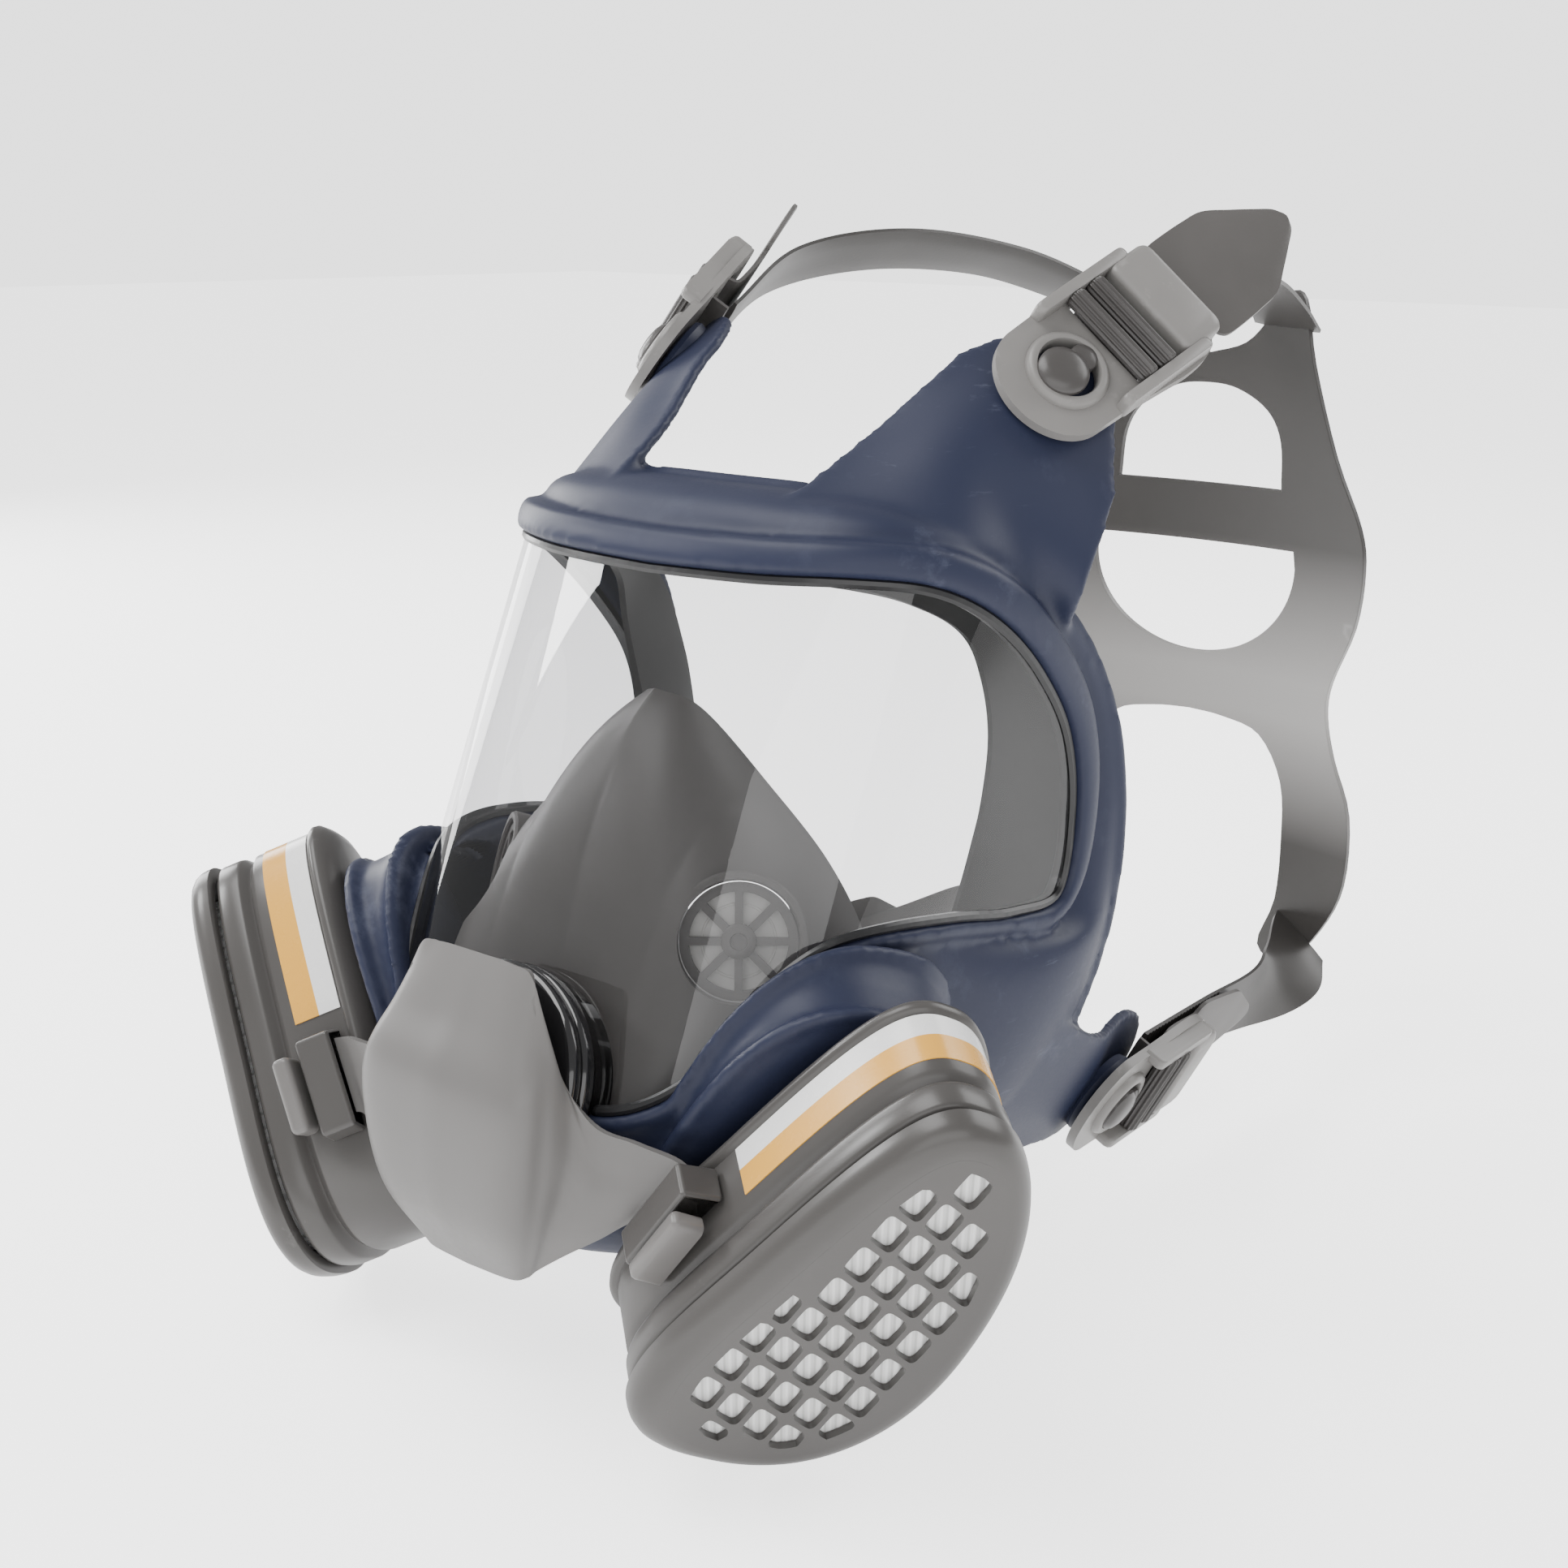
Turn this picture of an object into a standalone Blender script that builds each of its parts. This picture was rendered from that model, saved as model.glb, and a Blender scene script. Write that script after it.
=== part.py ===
"""Full-face respirator: a blue rubber facepiece with a wrapped clear visor, two kidney-shaped filters,
a front valve under a cover, and a four-strap head harness.

Lengths are millimetres inside this script and are scaled to metres when a mesh is made. +X is the
wearer's left, -Y is the way the wearer looks, +Z is up. The origin is the middle of the face seal.
Pieces are built on the right-hand (+X) side and mirrored in X for the other side.
"""

from math import cos, pi, radians, sin, tan

import bmesh
import bpy
import numpy as np
from mathutils import Vector
from mathutils.geometry import delaunay_2d_cdt

MM = 0.001

# Visor: a flat-fronted wrapped sheet, leaning forward at its lower edge.
VISOR_HALF_WIDTH = 78.0
VISOR_DEPTH = 90.0
VISOR_SQUARENESS = 3.2
VISOR_TOP_Y = -59.0
VISOR_TOP_Z = 69.0
VISOR_LEAN = radians(24.0)
VISOR_THICKNESS = 2.4
VISOR_EDGE_GAP = 1.7

# Shell wall and its lip round the visor.
WALL = 3.0
LIP_RISE = 3.2
LIP_DEPTH = 5.2
STATION_STEPS = 2

# Filters: the axis each one slides along, and the long axis of its kidney outline.
FILTER_CENTRE = np.array([107.0, -104.5, -84.0])
FILTER_AXIS = np.array([0.716, -0.571, -0.403])
FILTER_LONG = np.array([0.568, 0.139, 0.811])
FILTER_HALF_LENGTH = 60.0
FILTER_HALF_WIDTH = 32.5
FILTER_TAPER = 0.30
FILTER_BEND = 0.0045
FILTER_SQUARENESS = 2.5
FILTER_DEPTH = 45.0
OUTLINE_POINTS = 36

# Filter port and neck.
PORT_RADIUS = 17.0
PORT_BORE = 13.2
NECK_RADIUS = 12.7
NECK_BORE = 10.4
NECK_LENGTH = 11.0
BOSS_FACE = -47.4
BOSS_HALF_LENGTH = 41.0
BOSS_HALF_WIDTH = 30.0
BOSS_MIDDLE = (2.0, 6.0)

# The shell's wall under a boss: its depth below the boss at the filter's axis, and how the depth
# changes along and across the filter.
BOSS_WALL_DEPTH = 19.6
BOSS_WALL_ALONG = 0.1375
BOSS_WALL_ACROSS = -0.244

# Front valve port, square to the visor. Heights along it are measured from the visor's outside.
VALVE_Z = -53.0
VALVE_FLANGE = 29.5
VALVE_BARREL = 27.0
VALVE_SPIGOT = 24.4
VALVE_BORE = 21.6
VALVE_FRONT = 8.5
VALVE_REAR = -16.0

SEAL_THICKNESS = 2.0

# Nose cup.
CUP_WALL = 2.2
CUP_VALVE_CENTRE = np.array([41.0, -72.5, -18.0])
CUP_VALVE_AXIS = np.array([0.62, -0.74, 0.26])
CUP_VALVE_RADIUS = 14.6

# Buckles, in their own axes: along the strap, across it, and out from the tab.
BUCKLE_THICKNESS = 3.0
BUCKLE_GAP = 0.7
STRAP_THICKNESS = 1.7
STUD_HEAD = 6.6
STUD_STEM = 3.4

# Head harness.
HARNESS_Y = 222.0
HARNESS_THICKNESS = 2.6
HARNESS_CURVE = 420.0


def clear_scene():
    for old in list(bpy.data.objects):
        bpy.data.objects.remove(old, do_unlink=True)


def material(name, colour, roughness, metallic=0.0, alpha=1.0):
    """A plain Principled finish."""
    made = bpy.data.materials.get(name)
    if made is None:
        made = bpy.data.materials.new(name)
        made.use_nodes = True
        shader = made.node_tree.nodes["Principled BSDF"]
        shader.inputs["Base Color"].default_value = (*colour, 1.0)
        shader.inputs["Roughness"].default_value = roughness
        shader.inputs["Metallic"].default_value = metallic
        shader.inputs["Alpha"].default_value = alpha
    return made


def blue_rubber():
    return material("blue_rubber", (0.058, 0.075, 0.160), 0.55)


def dark_rubber():
    return material("dark_rubber", (0.055, 0.052, 0.050), 0.60)


def grey_rubber():
    return material("grey_rubber", (0.120, 0.112, 0.105), 0.50)


def harness_rubber():
    return material("harness_rubber", (0.092, 0.083, 0.078), 0.50)


def filter_plastic():
    return material("filter_plastic", (0.128, 0.118, 0.111), 0.42)


def cover_plastic():
    return material("cover_plastic", (0.38, 0.37, 0.36), 0.40)


def buckle_plastic():
    return material("buckle_plastic", (0.34, 0.32, 0.31), 0.45)


def black_gloss():
    return material("black_gloss", (0.020, 0.020, 0.021), 0.12)


def valve_rubber():
    return material("valve_rubber", (0.62, 0.61, 0.58), 0.45)


def clear_lens():
    return material("clear_lens", (0.80, 0.80, 0.80), 0.05, alpha=0.25)


def filter_media():
    return material("filter_media", (0.85, 0.85, 0.84), 0.90)


def carbon():
    return material("carbon", (0.020, 0.020, 0.020), 0.90)


def label_film():
    return material("label_film", (0.86, 0.50, 0.10), 0.35)


# ---------------------------------------------------------------- curves and grids


def unit(vector):
    vector = np.asarray(vector, float)
    return vector / np.linalg.norm(vector)


def spline(points, steps, closed=False):
    """Catmull-Rom curve through the points, with the given number of steps between neighbours."""
    points = np.asarray(points, float)
    if closed:
        padded = np.concatenate([points[-1:], points, points[:2]])
    else:
        first = 2 * points[:1] - points[1:2]
        last = 2 * points[-1:] - points[-2:-1]
        padded = np.concatenate([first, points, last])
    t = (np.arange(steps) / steps)[:, None]
    parts = []
    for i in range(len(padded) - 3):
        a, b, c, d = padded[i : i + 4]
        parts.append(
            0.5 * (2 * b + (c - a) * t + (2 * a - 5 * b + 4 * c - d) * t**2 + (3 * b - a - 3 * c + d) * t**3)
        )
    curve = np.concatenate(parts)
    return curve if closed else np.concatenate([curve, points[-1:]])


def full_loop(half):
    """A closed loop from its right half, whose first and last points lie on the middle plane."""
    left = half[-2:0:-1] * np.array([-1.0, 1.0, 1.0])
    return np.concatenate([half, left])


def grid_faces(rows, columns, wrap_rows, wrap_columns):
    """Quads between neighbours of a grid whose points are numbered row by row."""
    faces = []
    for row in range(rows if wrap_rows else rows - 1):
        below = (row + 1) % rows
        for column in range(columns if wrap_columns else columns - 1):
            beside = (column + 1) % columns
            faces.append(
                (
                    row * columns + column,
                    row * columns + beside,
                    below * columns + beside,
                    below * columns + column,
                )
            )
    return faces


def sheet(outer, inner, wrap=False):
    """The closed wall between two matching grids of points. With wrap, its columns close on themselves."""
    rows, columns = outer.shape[:2]
    around = np.concatenate([outer, inner[::-1]])
    faces = grid_faces(2 * rows, columns, True, wrap)
    if not wrap:
        for column in (0, columns - 1):
            for row in range(rows - 1):
                back = 2 * rows - 1 - row
                faces.append(
                    (
                        row * columns + column,
                        (row + 1) * columns + column,
                        (back - 1) * columns + column,
                        back * columns + column,
                    )
                )
    return around.reshape(-1, 3), faces


def thickened(surface, thickness, wrap=False):
    """A wall of even thickness behind a grid surface, on the side away from its normals."""
    return sheet(surface, surface - thickness * grid_normals(surface, wrap), wrap)


def grid_normals(surface, wrap=False):
    """Unit normals of a grid of points, from the slopes along its rows and columns."""
    down = np.gradient(surface, axis=0)
    if wrap:
        across = (np.roll(surface, -1, axis=1) - np.roll(surface, 1, axis=1)) / 2
    else:
        across = np.gradient(surface, axis=1)
    normals = np.cross(across, down)
    return normals / np.linalg.norm(normals, axis=2, keepdims=True)


def loft(rings, closed=False):
    """A body through matching rings: capped at both ends, or closed on itself round a hollow."""
    rings = np.asarray(rings)
    count, size = rings.shape[:2]
    faces = grid_faces(count, size, closed, True)
    if not closed:
        faces.append(tuple(range(size)))
        faces.append(tuple((count - 1) * size + i for i in range(size)))
    return rings.reshape(-1, 3), faces


def placed(centre, axis_x, axis_y, axis_z):
    """A function that takes points from a piece's own axes to the respirator's."""
    axes = np.array([axis_x, axis_y, axis_z])

    def place(points):
        return np.asarray(centre) + np.asarray(points, float) @ axes

    return place


def turned(profile, place, sides=28, closed=True):
    """A turned body: (radius, height) points round the place's third axis."""
    angle = np.arange(sides) * 2 * pi / sides
    rings = []
    for radius, height in profile:
        rings.append(
            place(np.stack([radius * np.cos(angle), radius * np.sin(angle), np.full(sides, height)], 1))
        )
    return loft(rings, closed)


def inside(polygon, points):
    """Which of the points lie inside the polygon, by counting the edges that a level ray crosses."""
    x, y = points[:, 0][:, None], points[:, 1][:, None]
    x1, y1 = polygon[:, 0], polygon[:, 1]
    x2, y2 = np.roll(x1, -1), np.roll(y1, -1)
    spans = (y1 > y) != (y2 > y)
    rise = np.where(y2 == y1, 1.0, y2 - y1)
    crossed = spans & (x < (x2 - x1) * (y - y1) / rise + x1)
    return crossed.sum(axis=1) % 2 == 1


def plate(outline, holes, high, low, place):
    """A flat plate with through holes. high and low give the height of its two faces at flat points."""
    points = []
    edges = []
    for loop in [outline, *holes]:
        start = len(points)
        points += [Vector((float(x), float(y))) for x, y in loop]
        edges += [(start + i, start + (i + 1) % len(loop)) for i in range(len(loop))]
    made = delaunay_2d_cdt(points, edges, [], 1, 1e-5)
    flat = np.array([(v.x, v.y) for v in made[0]])
    triangles = np.array(made[2])
    middles = flat[triangles].mean(axis=1)
    keep = inside(np.asarray(outline), middles)
    for hole in holes:
        keep &= ~inside(np.asarray(hole), middles)
    triangles = triangles[keep]
    used, index = np.unique(triangles, return_inverse=True)
    triangles = index.reshape(-1, 3)
    flat = flat[used]
    count = len(flat)
    top = place(np.column_stack([flat, high(flat)]))
    bottom = place(np.column_stack([flat, low(flat)]))
    faces = [tuple(t) for t in triangles.tolist()]
    directed = {(t[i], t[(i + 1) % 3]) for t in faces for i in range(3)}
    walls = [(b, a, a + count, b + count) for a, b in directed if (b, a) not in directed]
    faces += [tuple(v + count for v in reversed(t)) for t in faces]
    return np.concatenate([top, bottom]), faces + walls


def level(height):
    """A face of a plate at one height all over."""
    return lambda flat: np.full(len(flat), height)


def circle(radius, count, centre=(0.0, 0.0), start=0.0):
    angle = start + np.arange(count) * 2 * pi / count
    return np.stack([centre[0] + radius * np.cos(angle), centre[1] + radius * np.sin(angle)], 1)


def rounded_box(half_x, half_y, radius, centre=(0.0, 0.0), corner_points=4):
    """A rectangle with round corners."""
    points = []
    for turn, (side_x, side_y) in enumerate([(1, 1), (-1, 1), (-1, -1), (1, -1)]):
        middle = np.array([side_x * (half_x - radius), side_y * (half_y - radius)])
        angle = turn * pi / 2 + np.linspace(0, pi / 2, corner_points)
        points.append(middle + radius * np.stack([np.cos(angle), np.sin(angle)], 1))
    return np.concatenate(points) + np.array(centre)


# ---------------------------------------------------------------- making nodes


def node(name, body, finish, origin=(0.0, 0.0, 0.0)):
    """One named object from millimetre points and faces, with its origin where it turns or slides."""
    points, faces = body
    mesh = bpy.data.meshes.new(name)
    local = (np.asarray(points) - np.asarray(origin)) * MM
    mesh.from_pydata(local.tolist(), [], [tuple(int(v) for v in face) for face in faces])
    work = bmesh.new()
    work.from_mesh(mesh)
    bmesh.ops.remove_doubles(work, verts=work.verts, dist=1e-6)
    bmesh.ops.recalc_face_normals(work, faces=work.faces)
    work.to_mesh(mesh)
    work.free()
    mesh.shade_smooth()
    mesh.set_sharp_from_angle(angle=radians(35))
    made = bpy.data.objects.new(name, mesh)
    made.location = np.asarray(origin, float) * MM
    made.data.materials.append(finish)
    bpy.context.scene.collection.objects.link(made)
    return made


def pair(name, body, finish, origin=(0.0, 0.0, 0.0)):
    """A right-hand node and its mirror image."""
    points, faces = body
    flip = np.array([-1.0, 1.0, 1.0])
    right = node(name + "_right", (points, faces), finish, origin)
    left = node(name + "_left", (points * flip, faces), finish, np.asarray(origin) * flip)
    return right, left


def boolean(target, body, operation, name):
    """Joins or cuts the target with a hidden helper body."""
    helper = node(name, body, target.data.materials[0])
    helper.hide_render = True
    helper.display_type = "WIRE"
    modifier = target.modifiers.new(name, "BOOLEAN")
    modifier.operation = operation
    modifier.solver = "EXACT"
    modifier.object = helper
    return helper


def both_sides(target, body, operation, name):
    points, faces = body
    boolean(target, (points, faces), operation, name + "_right")
    boolean(target, (points * np.array([-1.0, 1.0, 1.0]), faces), operation, name + "_left")


# ---------------------------------------------------------------- visor surface


def plan_curve():
    """The visor's level section: a half superellipse, with its length measured round from the front."""
    turn = np.linspace(0, pi / 2, 2000)
    x = VISOR_HALF_WIDTH * np.sin(turn) ** (2 / VISOR_SQUARENESS)
    y = -VISOR_DEPTH * np.cos(turn) ** (2 / VISOR_SQUARENESS)
    length = np.concatenate([[0], np.cumsum(np.hypot(np.diff(x), np.diff(y)))])
    return length, x, y


PLAN = plan_curve()
VALVE_Y = VISOR_TOP_Y - tan(VISOR_LEAN) * (VISOR_TOP_Z - VALVE_Z)


def visor_point(around, height, out=0.0):
    """A point on the visor: a distance round from the front, a height, and how far out of the surface."""
    length, plan_x, plan_y = PLAN
    around = np.asarray(around, float)
    height = np.asarray(height, float)
    reach = np.abs(around)
    straight = np.maximum(reach - length[-1], 0)
    x = np.interp(reach, length, plan_x)
    y = np.interp(reach, length, plan_y) + straight
    ahead = np.interp(reach + 0.5, length, plan_x) - np.interp(reach - 0.5, length, plan_x)
    back = np.interp(reach + 0.5, length, plan_y) - np.interp(reach - 0.5, length, plan_y)
    back = np.where(straight > 0, 1.0, back)
    ahead = np.where(straight > 0, 0.0, ahead)
    scale = np.hypot(ahead, back)
    side = np.sign(around)
    lean = tan(VISOR_LEAN)
    normal = np.stack([side * back / scale, -ahead / scale, ahead / scale * lean], -1)
    normal /= np.linalg.norm(normal, axis=-1, keepdims=True)
    middle_y = VISOR_TOP_Y + VISOR_DEPTH - lean * (VISOR_TOP_Z - height)
    return np.stack([side * x, middle_y + y, height], -1) + out * normal


# Stations down the right side of the facepiece, from the top of the visor round to the chin. Each has
# the visor's edge (distance round, height), the lip's width, the rim that meets the face, the point
# that the wall bows towards, and the inner edge of the face seal.
STATIONS = [
    # edge             lip   rim                    bow                    seal edge
    ((0.0, 69.0), 8.0, (0.0, -29.0, 87.0), (0.0, -50.0, 90.0), (0.0, -38.0, 66.0)),
    ((30.0, 69.6), 8.0, (26.0, -27.0, 86.5), (27.0, -47.0, 90.0), (22.0, -36.0, 65.5)),
    ((58.0, 70.0), 8.0, (50.0, -19.0, 83.5), (56.0, -38.0, 88.0), (42.0, -30.0, 64.0)),
    ((79.0, 67.5), 8.0, (64.5, -7.0, 75.0), (71.5, -16.0, 80.0), (54.0, -19.0, 59.0)),
    ((101.0, 58.5), 8.0, (71.5, 10.0, 63.0), (77.5, 2.0, 68.5), (61.0, -8.0, 51.0)),
    ((125.0, 43.5), 8.0, (75.5, 26.0, 46.0), (79.5, 19.0, 51.0), (64.0, -3.0, 39.0)),
    ((147.0, 25.0), 8.0, (78.5, 36.0, 25.0), (81.0, 31.0, 29.5), (64.0, 1.0, 23.0)),
    ((161.0, 3.0), 8.0, (79.0, 41.0, 2.0), (81.5, 37.0, 4.0), (61.0, 3.0, 5.0)),
    ((165.0, -19.0), 7.0, (78.5, 41.0, -20.0), (82.5, 31.0, -26.0), (58.0, 3.0, -8.0)),
    ((143.0, -19.5), 4.0, (77.5, 38.0, -36.0), (89.0, 16.0, -38.0), (55.0, 2.0, -21.0)),
    ((117.0, -15.0), 4.0, (75.5, 33.0, -51.0), (91.0, -2.0, -59.0), (51.0, 1.0, -35.0)),
    ((94.0, -12.6), 4.0, (72.0, 28.0, -65.0), (84.0, -15.0, -80.0), (47.0, -1.0, -47.0)),
    ((77.0, -14.0), 4.0, (67.0, 21.0, -77.0), (76.0, -22.0, -95.0), (43.0, -3.0, -59.0)),
    ((66.0, -21.5), 4.0, (60.0, 15.0, -88.0), (66.0, -28.0, -106.0), (38.0, -7.0, -69.0)),
    ((59.0, -34.0), 4.0, (50.0, 7.0, -98.0), (54.0, -36.0, -113.0), (31.0, -12.0, -78.0)),
    ((51.0, -44.5), 4.0, (38.0, -2.0, -105.5), (46.0, -80.0, -116.0), (23.0, -16.0, -85.0)),
    ((38.0, -52.0), 4.0, (26.0, -8.0, -109.5), (35.0, -118.0, -112.0), (15.0, -19.0, -89.0)),
    ((19.0, -55.0), 4.0, (13.0, -11.0, -112.0), (20.0, -144.0, -107.0), (8.0, -20.0, -91.0)),
    ((0.0, -56.0), 4.0, (0.0, -12.0, -112.5), (0.0, -152.0, -106.0), (0.0, -21.0, -92.0)),
]


def station_curve(column):
    """One column of the station table as a smooth curve down the right side."""
    return spline([np.atleast_1d(station[column]) for station in STATIONS], STATION_STEPS)


def edge_offsets(distance, out):
    """The visor's edge curve moved outwards in the visor's surface, and out of it."""
    edge = station_curve(0)
    slope = np.gradient(edge, axis=0)
    slope[0] = (1.0, 0.0)
    slope[-1] = (-1.0, 0.0)
    slope /= np.linalg.norm(slope, axis=1, keepdims=True)
    outward = np.stack([-slope[:, 1], slope[:, 0]], 1)
    distance = np.broadcast_to(np.asarray(distance, float), len(edge))
    moved = edge + distance[:, None] * outward
    moved[0, 0] = 0.0
    moved[-1, 0] = 0.0
    points = visor_point(moved[:, 0], moved[:, 1], out)
    points[0, 0] = 0.0
    points[-1, 0] = 0.0
    return points


# ---------------------------------------------------------------- filter surface


FILTER_SHORT = np.cross(FILTER_AXIS, FILTER_LONG)
FILTER_AXIS = unit(FILTER_AXIS)
FILTER_SHORT = unit(FILTER_SHORT)
FILTER_LONG = np.cross(FILTER_SHORT, FILTER_AXIS)
in_filter = placed(FILTER_CENTRE, FILTER_LONG, FILTER_SHORT, FILTER_AXIS)


def kidney(turn, grow=0.0):
    """The filter's outline at an angle: a superellipse, wider at its lower end and bent sideways."""
    power = 2 / FILTER_SQUARENESS
    c, s = np.cos(turn), np.sin(turn)
    along = (FILTER_HALF_LENGTH + grow) * np.sign(c) * np.abs(c) ** power
    width = FILTER_HALF_WIDTH * (1 - FILTER_TAPER * along / FILTER_HALF_LENGTH) + grow
    across = width * np.sign(s) * np.abs(s) ** power + FILTER_BEND * along**2 / 2
    return np.stack([along, across], -1)


def kidney_ring(grow, height, count=OUTLINE_POINTS):
    flat = kidney(np.arange(count) * 2 * pi / count, grow)
    return in_filter(np.column_stack([flat, np.full(count, height)]))


def round_ring(radius, height, count=OUTLINE_POINTS):
    flat = circle(radius, count)
    return in_filter(np.column_stack([flat, np.full(count, height)]))


# ---------------------------------------------------------------- facepiece


def shell_outer():
    """The outside of the facepiece, from the visor's lip (first row) to the rim (last row), right half."""
    lip_width = station_curve(1)[:, 0]
    rise = np.interp(lip_width, [4.0, 8.0], [1.0, LIP_RISE])
    heel = edge_offsets(lip_width + 1.2, -2.0)
    rim = station_curve(2)
    bow = station_curve(3)
    rows = [edge_offsets(0.0, rise[:, None]), edge_offsets(lip_width, rise[:, None]), heel]
    rows += [(1 - t) ** 2 * heel + 2 * t * (1 - t) * bow + t**2 * rim for t in (0.22, 0.46, 0.72)]
    rows.append(rim)
    return np.array(rows)


def sunk(outer, depth):
    """The facepiece's outside moved inwards by a depth, right half."""
    whole = mirrored_columns(outer)
    moved = whole - depth * grid_normals(whole, wrap=True)
    half = moved[:, : outer.shape[1]].copy()
    half[:, 0, 0] = 0.0
    half[:, -1, 0] = 0.0
    return half


def shell_inner(outer):
    """The inside of the facepiece, matching the outside point for point."""
    half = sunk(outer, WALL)
    half[0] = edge_offsets(0.0, -LIP_DEPTH)
    half[1] = edge_offsets(3.0, -LIP_DEPTH - 0.6)
    half[2] = edge_offsets(4.0, -LIP_DEPTH - 1.6)
    return half


def boss_ring(grow, height, slant=0.0, count=28):
    """The outline of the raised boss that carries a filter, at a height that may follow the shell's wall."""
    turn = np.arange(count) * 2 * pi / count
    c, s = np.cos(turn), np.sin(turn)
    power = 2 / FILTER_SQUARENESS
    along = BOSS_MIDDLE[0] + (BOSS_HALF_LENGTH + grow) * np.sign(c) * np.abs(c) ** power
    across = BOSS_MIDDLE[1] + (BOSS_HALF_WIDTH + grow) * np.sign(s) * np.abs(s) ** power
    depth = slant * (BOSS_WALL_DEPTH + BOSS_WALL_ALONG * along + BOSS_WALL_ACROSS * across)
    return in_filter(np.stack([along, across, height - depth], 1))


def boss():
    """A solid mound from the filter's seat down through the shell's wall."""
    rings = [boss_ring(-4.0, BOSS_FACE), boss_ring(-1.2, BOSS_FACE - 0.9), boss_ring(0.0, BOSS_FACE - 3.2)]
    rings.append(boss_ring(0.6, BOSS_FACE - 3.0, 1.0))
    return loft(rings)


def boss_hollow():
    """The air inside the boss, open to the inside of the mask."""
    return loft([boss_ring(-3.6, BOSS_FACE - 4.1), boss_ring(-2.9, BOSS_FACE - 14.0, 1.0)])


def mirrored_columns(half):
    return np.concatenate([full_loop(row)[None] for row in half])


def upper_tab(outer, inner):
    """A flap from the shell's upper side to the stud, as front, middle and rear lines."""
    wall = (outer + inner) / 2
    front = [wall[4, 2], (33, -17, 98), (39.5, 6, 114), (42.5, 29.6, 127.7)]
    middle = [wall[4, 6], (60.5, -8, 94.5), (62.8, 13.5, 107.8), (67.5, 38, 118.5)]
    rear = [wall[4, 10], (83.5, 10, 62), (82.5, 22, 80), (80, 34, 96)]
    return tab_body([front, middle, rear])


def lower_tab(outer, inner):
    """A flap from the jaw back to the lower stud."""
    wall = (outer + inner) / 2
    top = [wall[5, 20], (77, 38, -66), (69, 62, -70), (63.5, 88, -71)]
    middle = [wall[5, 24], (68, 40, -87), (62.8, 62, -89.3), (59.4, 86, -89)]
    low = [wall[5, 27], (58, 34, -103), (54.5, 60, -106), (52, 80, -105)]
    return tab_body([top, middle, low])


def tab_body(lines):
    lengthwise = np.array([spline(line, 2) for line in lines])
    grid = np.array([spline(lengthwise[:, i], 3) for i in range(lengthwise.shape[1])])
    return sheet(*centred(grid, 3.2))


def centred(grid, thickness):
    """The two faces of a sheet whose middle surface is the grid."""
    normals = grid_normals(grid)
    return grid + thickness / 2 * normals, grid - thickness / 2 * normals


def facepiece():
    outer = shell_outer()
    inner = shell_inner(outer)
    body = sheet(mirrored_columns(outer), mirrored_columns(inner), wrap=True)
    shell = node("facepiece_shell", body, blue_rubber())
    both_sides(shell, boss(), "UNION", "boss_helper")
    both_sides(shell, boss_hollow(), "DIFFERENCE", "boss_hollow_helper")
    boolean(shell, lens_body(-0.3, 10.0, -LIP_DEPTH - 10.0), "DIFFERENCE", "visor_opening_helper")
    both_sides(shell, upper_tab(outer, inner), "UNION", "upper_tab_helper")
    both_sides(shell, lower_tab(outer, inner), "UNION", "lower_tab_helper")
    bore_radius = PORT_RADIUS + 0.3
    bore = turned([(bore_radius, BOSS_FACE + 6), (bore_radius, BOSS_FACE - 9)], in_filter, 28, False)
    both_sides(shell, bore, "DIFFERENCE", "port_bore_helper")
    boolean(shell, valve_bore(), "DIFFERENCE", "valve_bore_helper")
    return outer, inner


in_valve = placed(
    (0, VALVE_Y, VALVE_Z),
    (1, 0, 0),
    (0, sin(VISOR_LEAN), cos(VISOR_LEAN)),
    (0, -cos(VISOR_LEAN), sin(VISOR_LEAN)),
)


def valve_bore():
    """The stepped round hole that the front valve port fills, through the visor and the shell."""
    profile = [(VALVE_BARREL + 0.4, -26.0), (VALVE_BARREL + 0.4, 0.3)]
    profile += [(VALVE_FLANGE + 0.4, 0.3), (VALVE_FLANGE + 0.4, 22.0)]
    return turned(profile, in_valve, 32, False)


def visor_edge(inset):
    """The visor's own outline in its surface, a little inside the shell's opening, right half."""
    edge = station_curve(0)
    slope = np.gradient(edge, axis=0)
    slope[0] = (1.0, 0.0)
    slope[-1] = (-1.0, 0.0)
    slope /= np.linalg.norm(slope, axis=1, keepdims=True)
    outward = np.stack([-slope[:, 1], slope[:, 0]], 1)
    moved = edge - inset * outward
    moved[0, 0] = 0.0
    moved[-1, 0] = 0.0
    return moved


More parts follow.
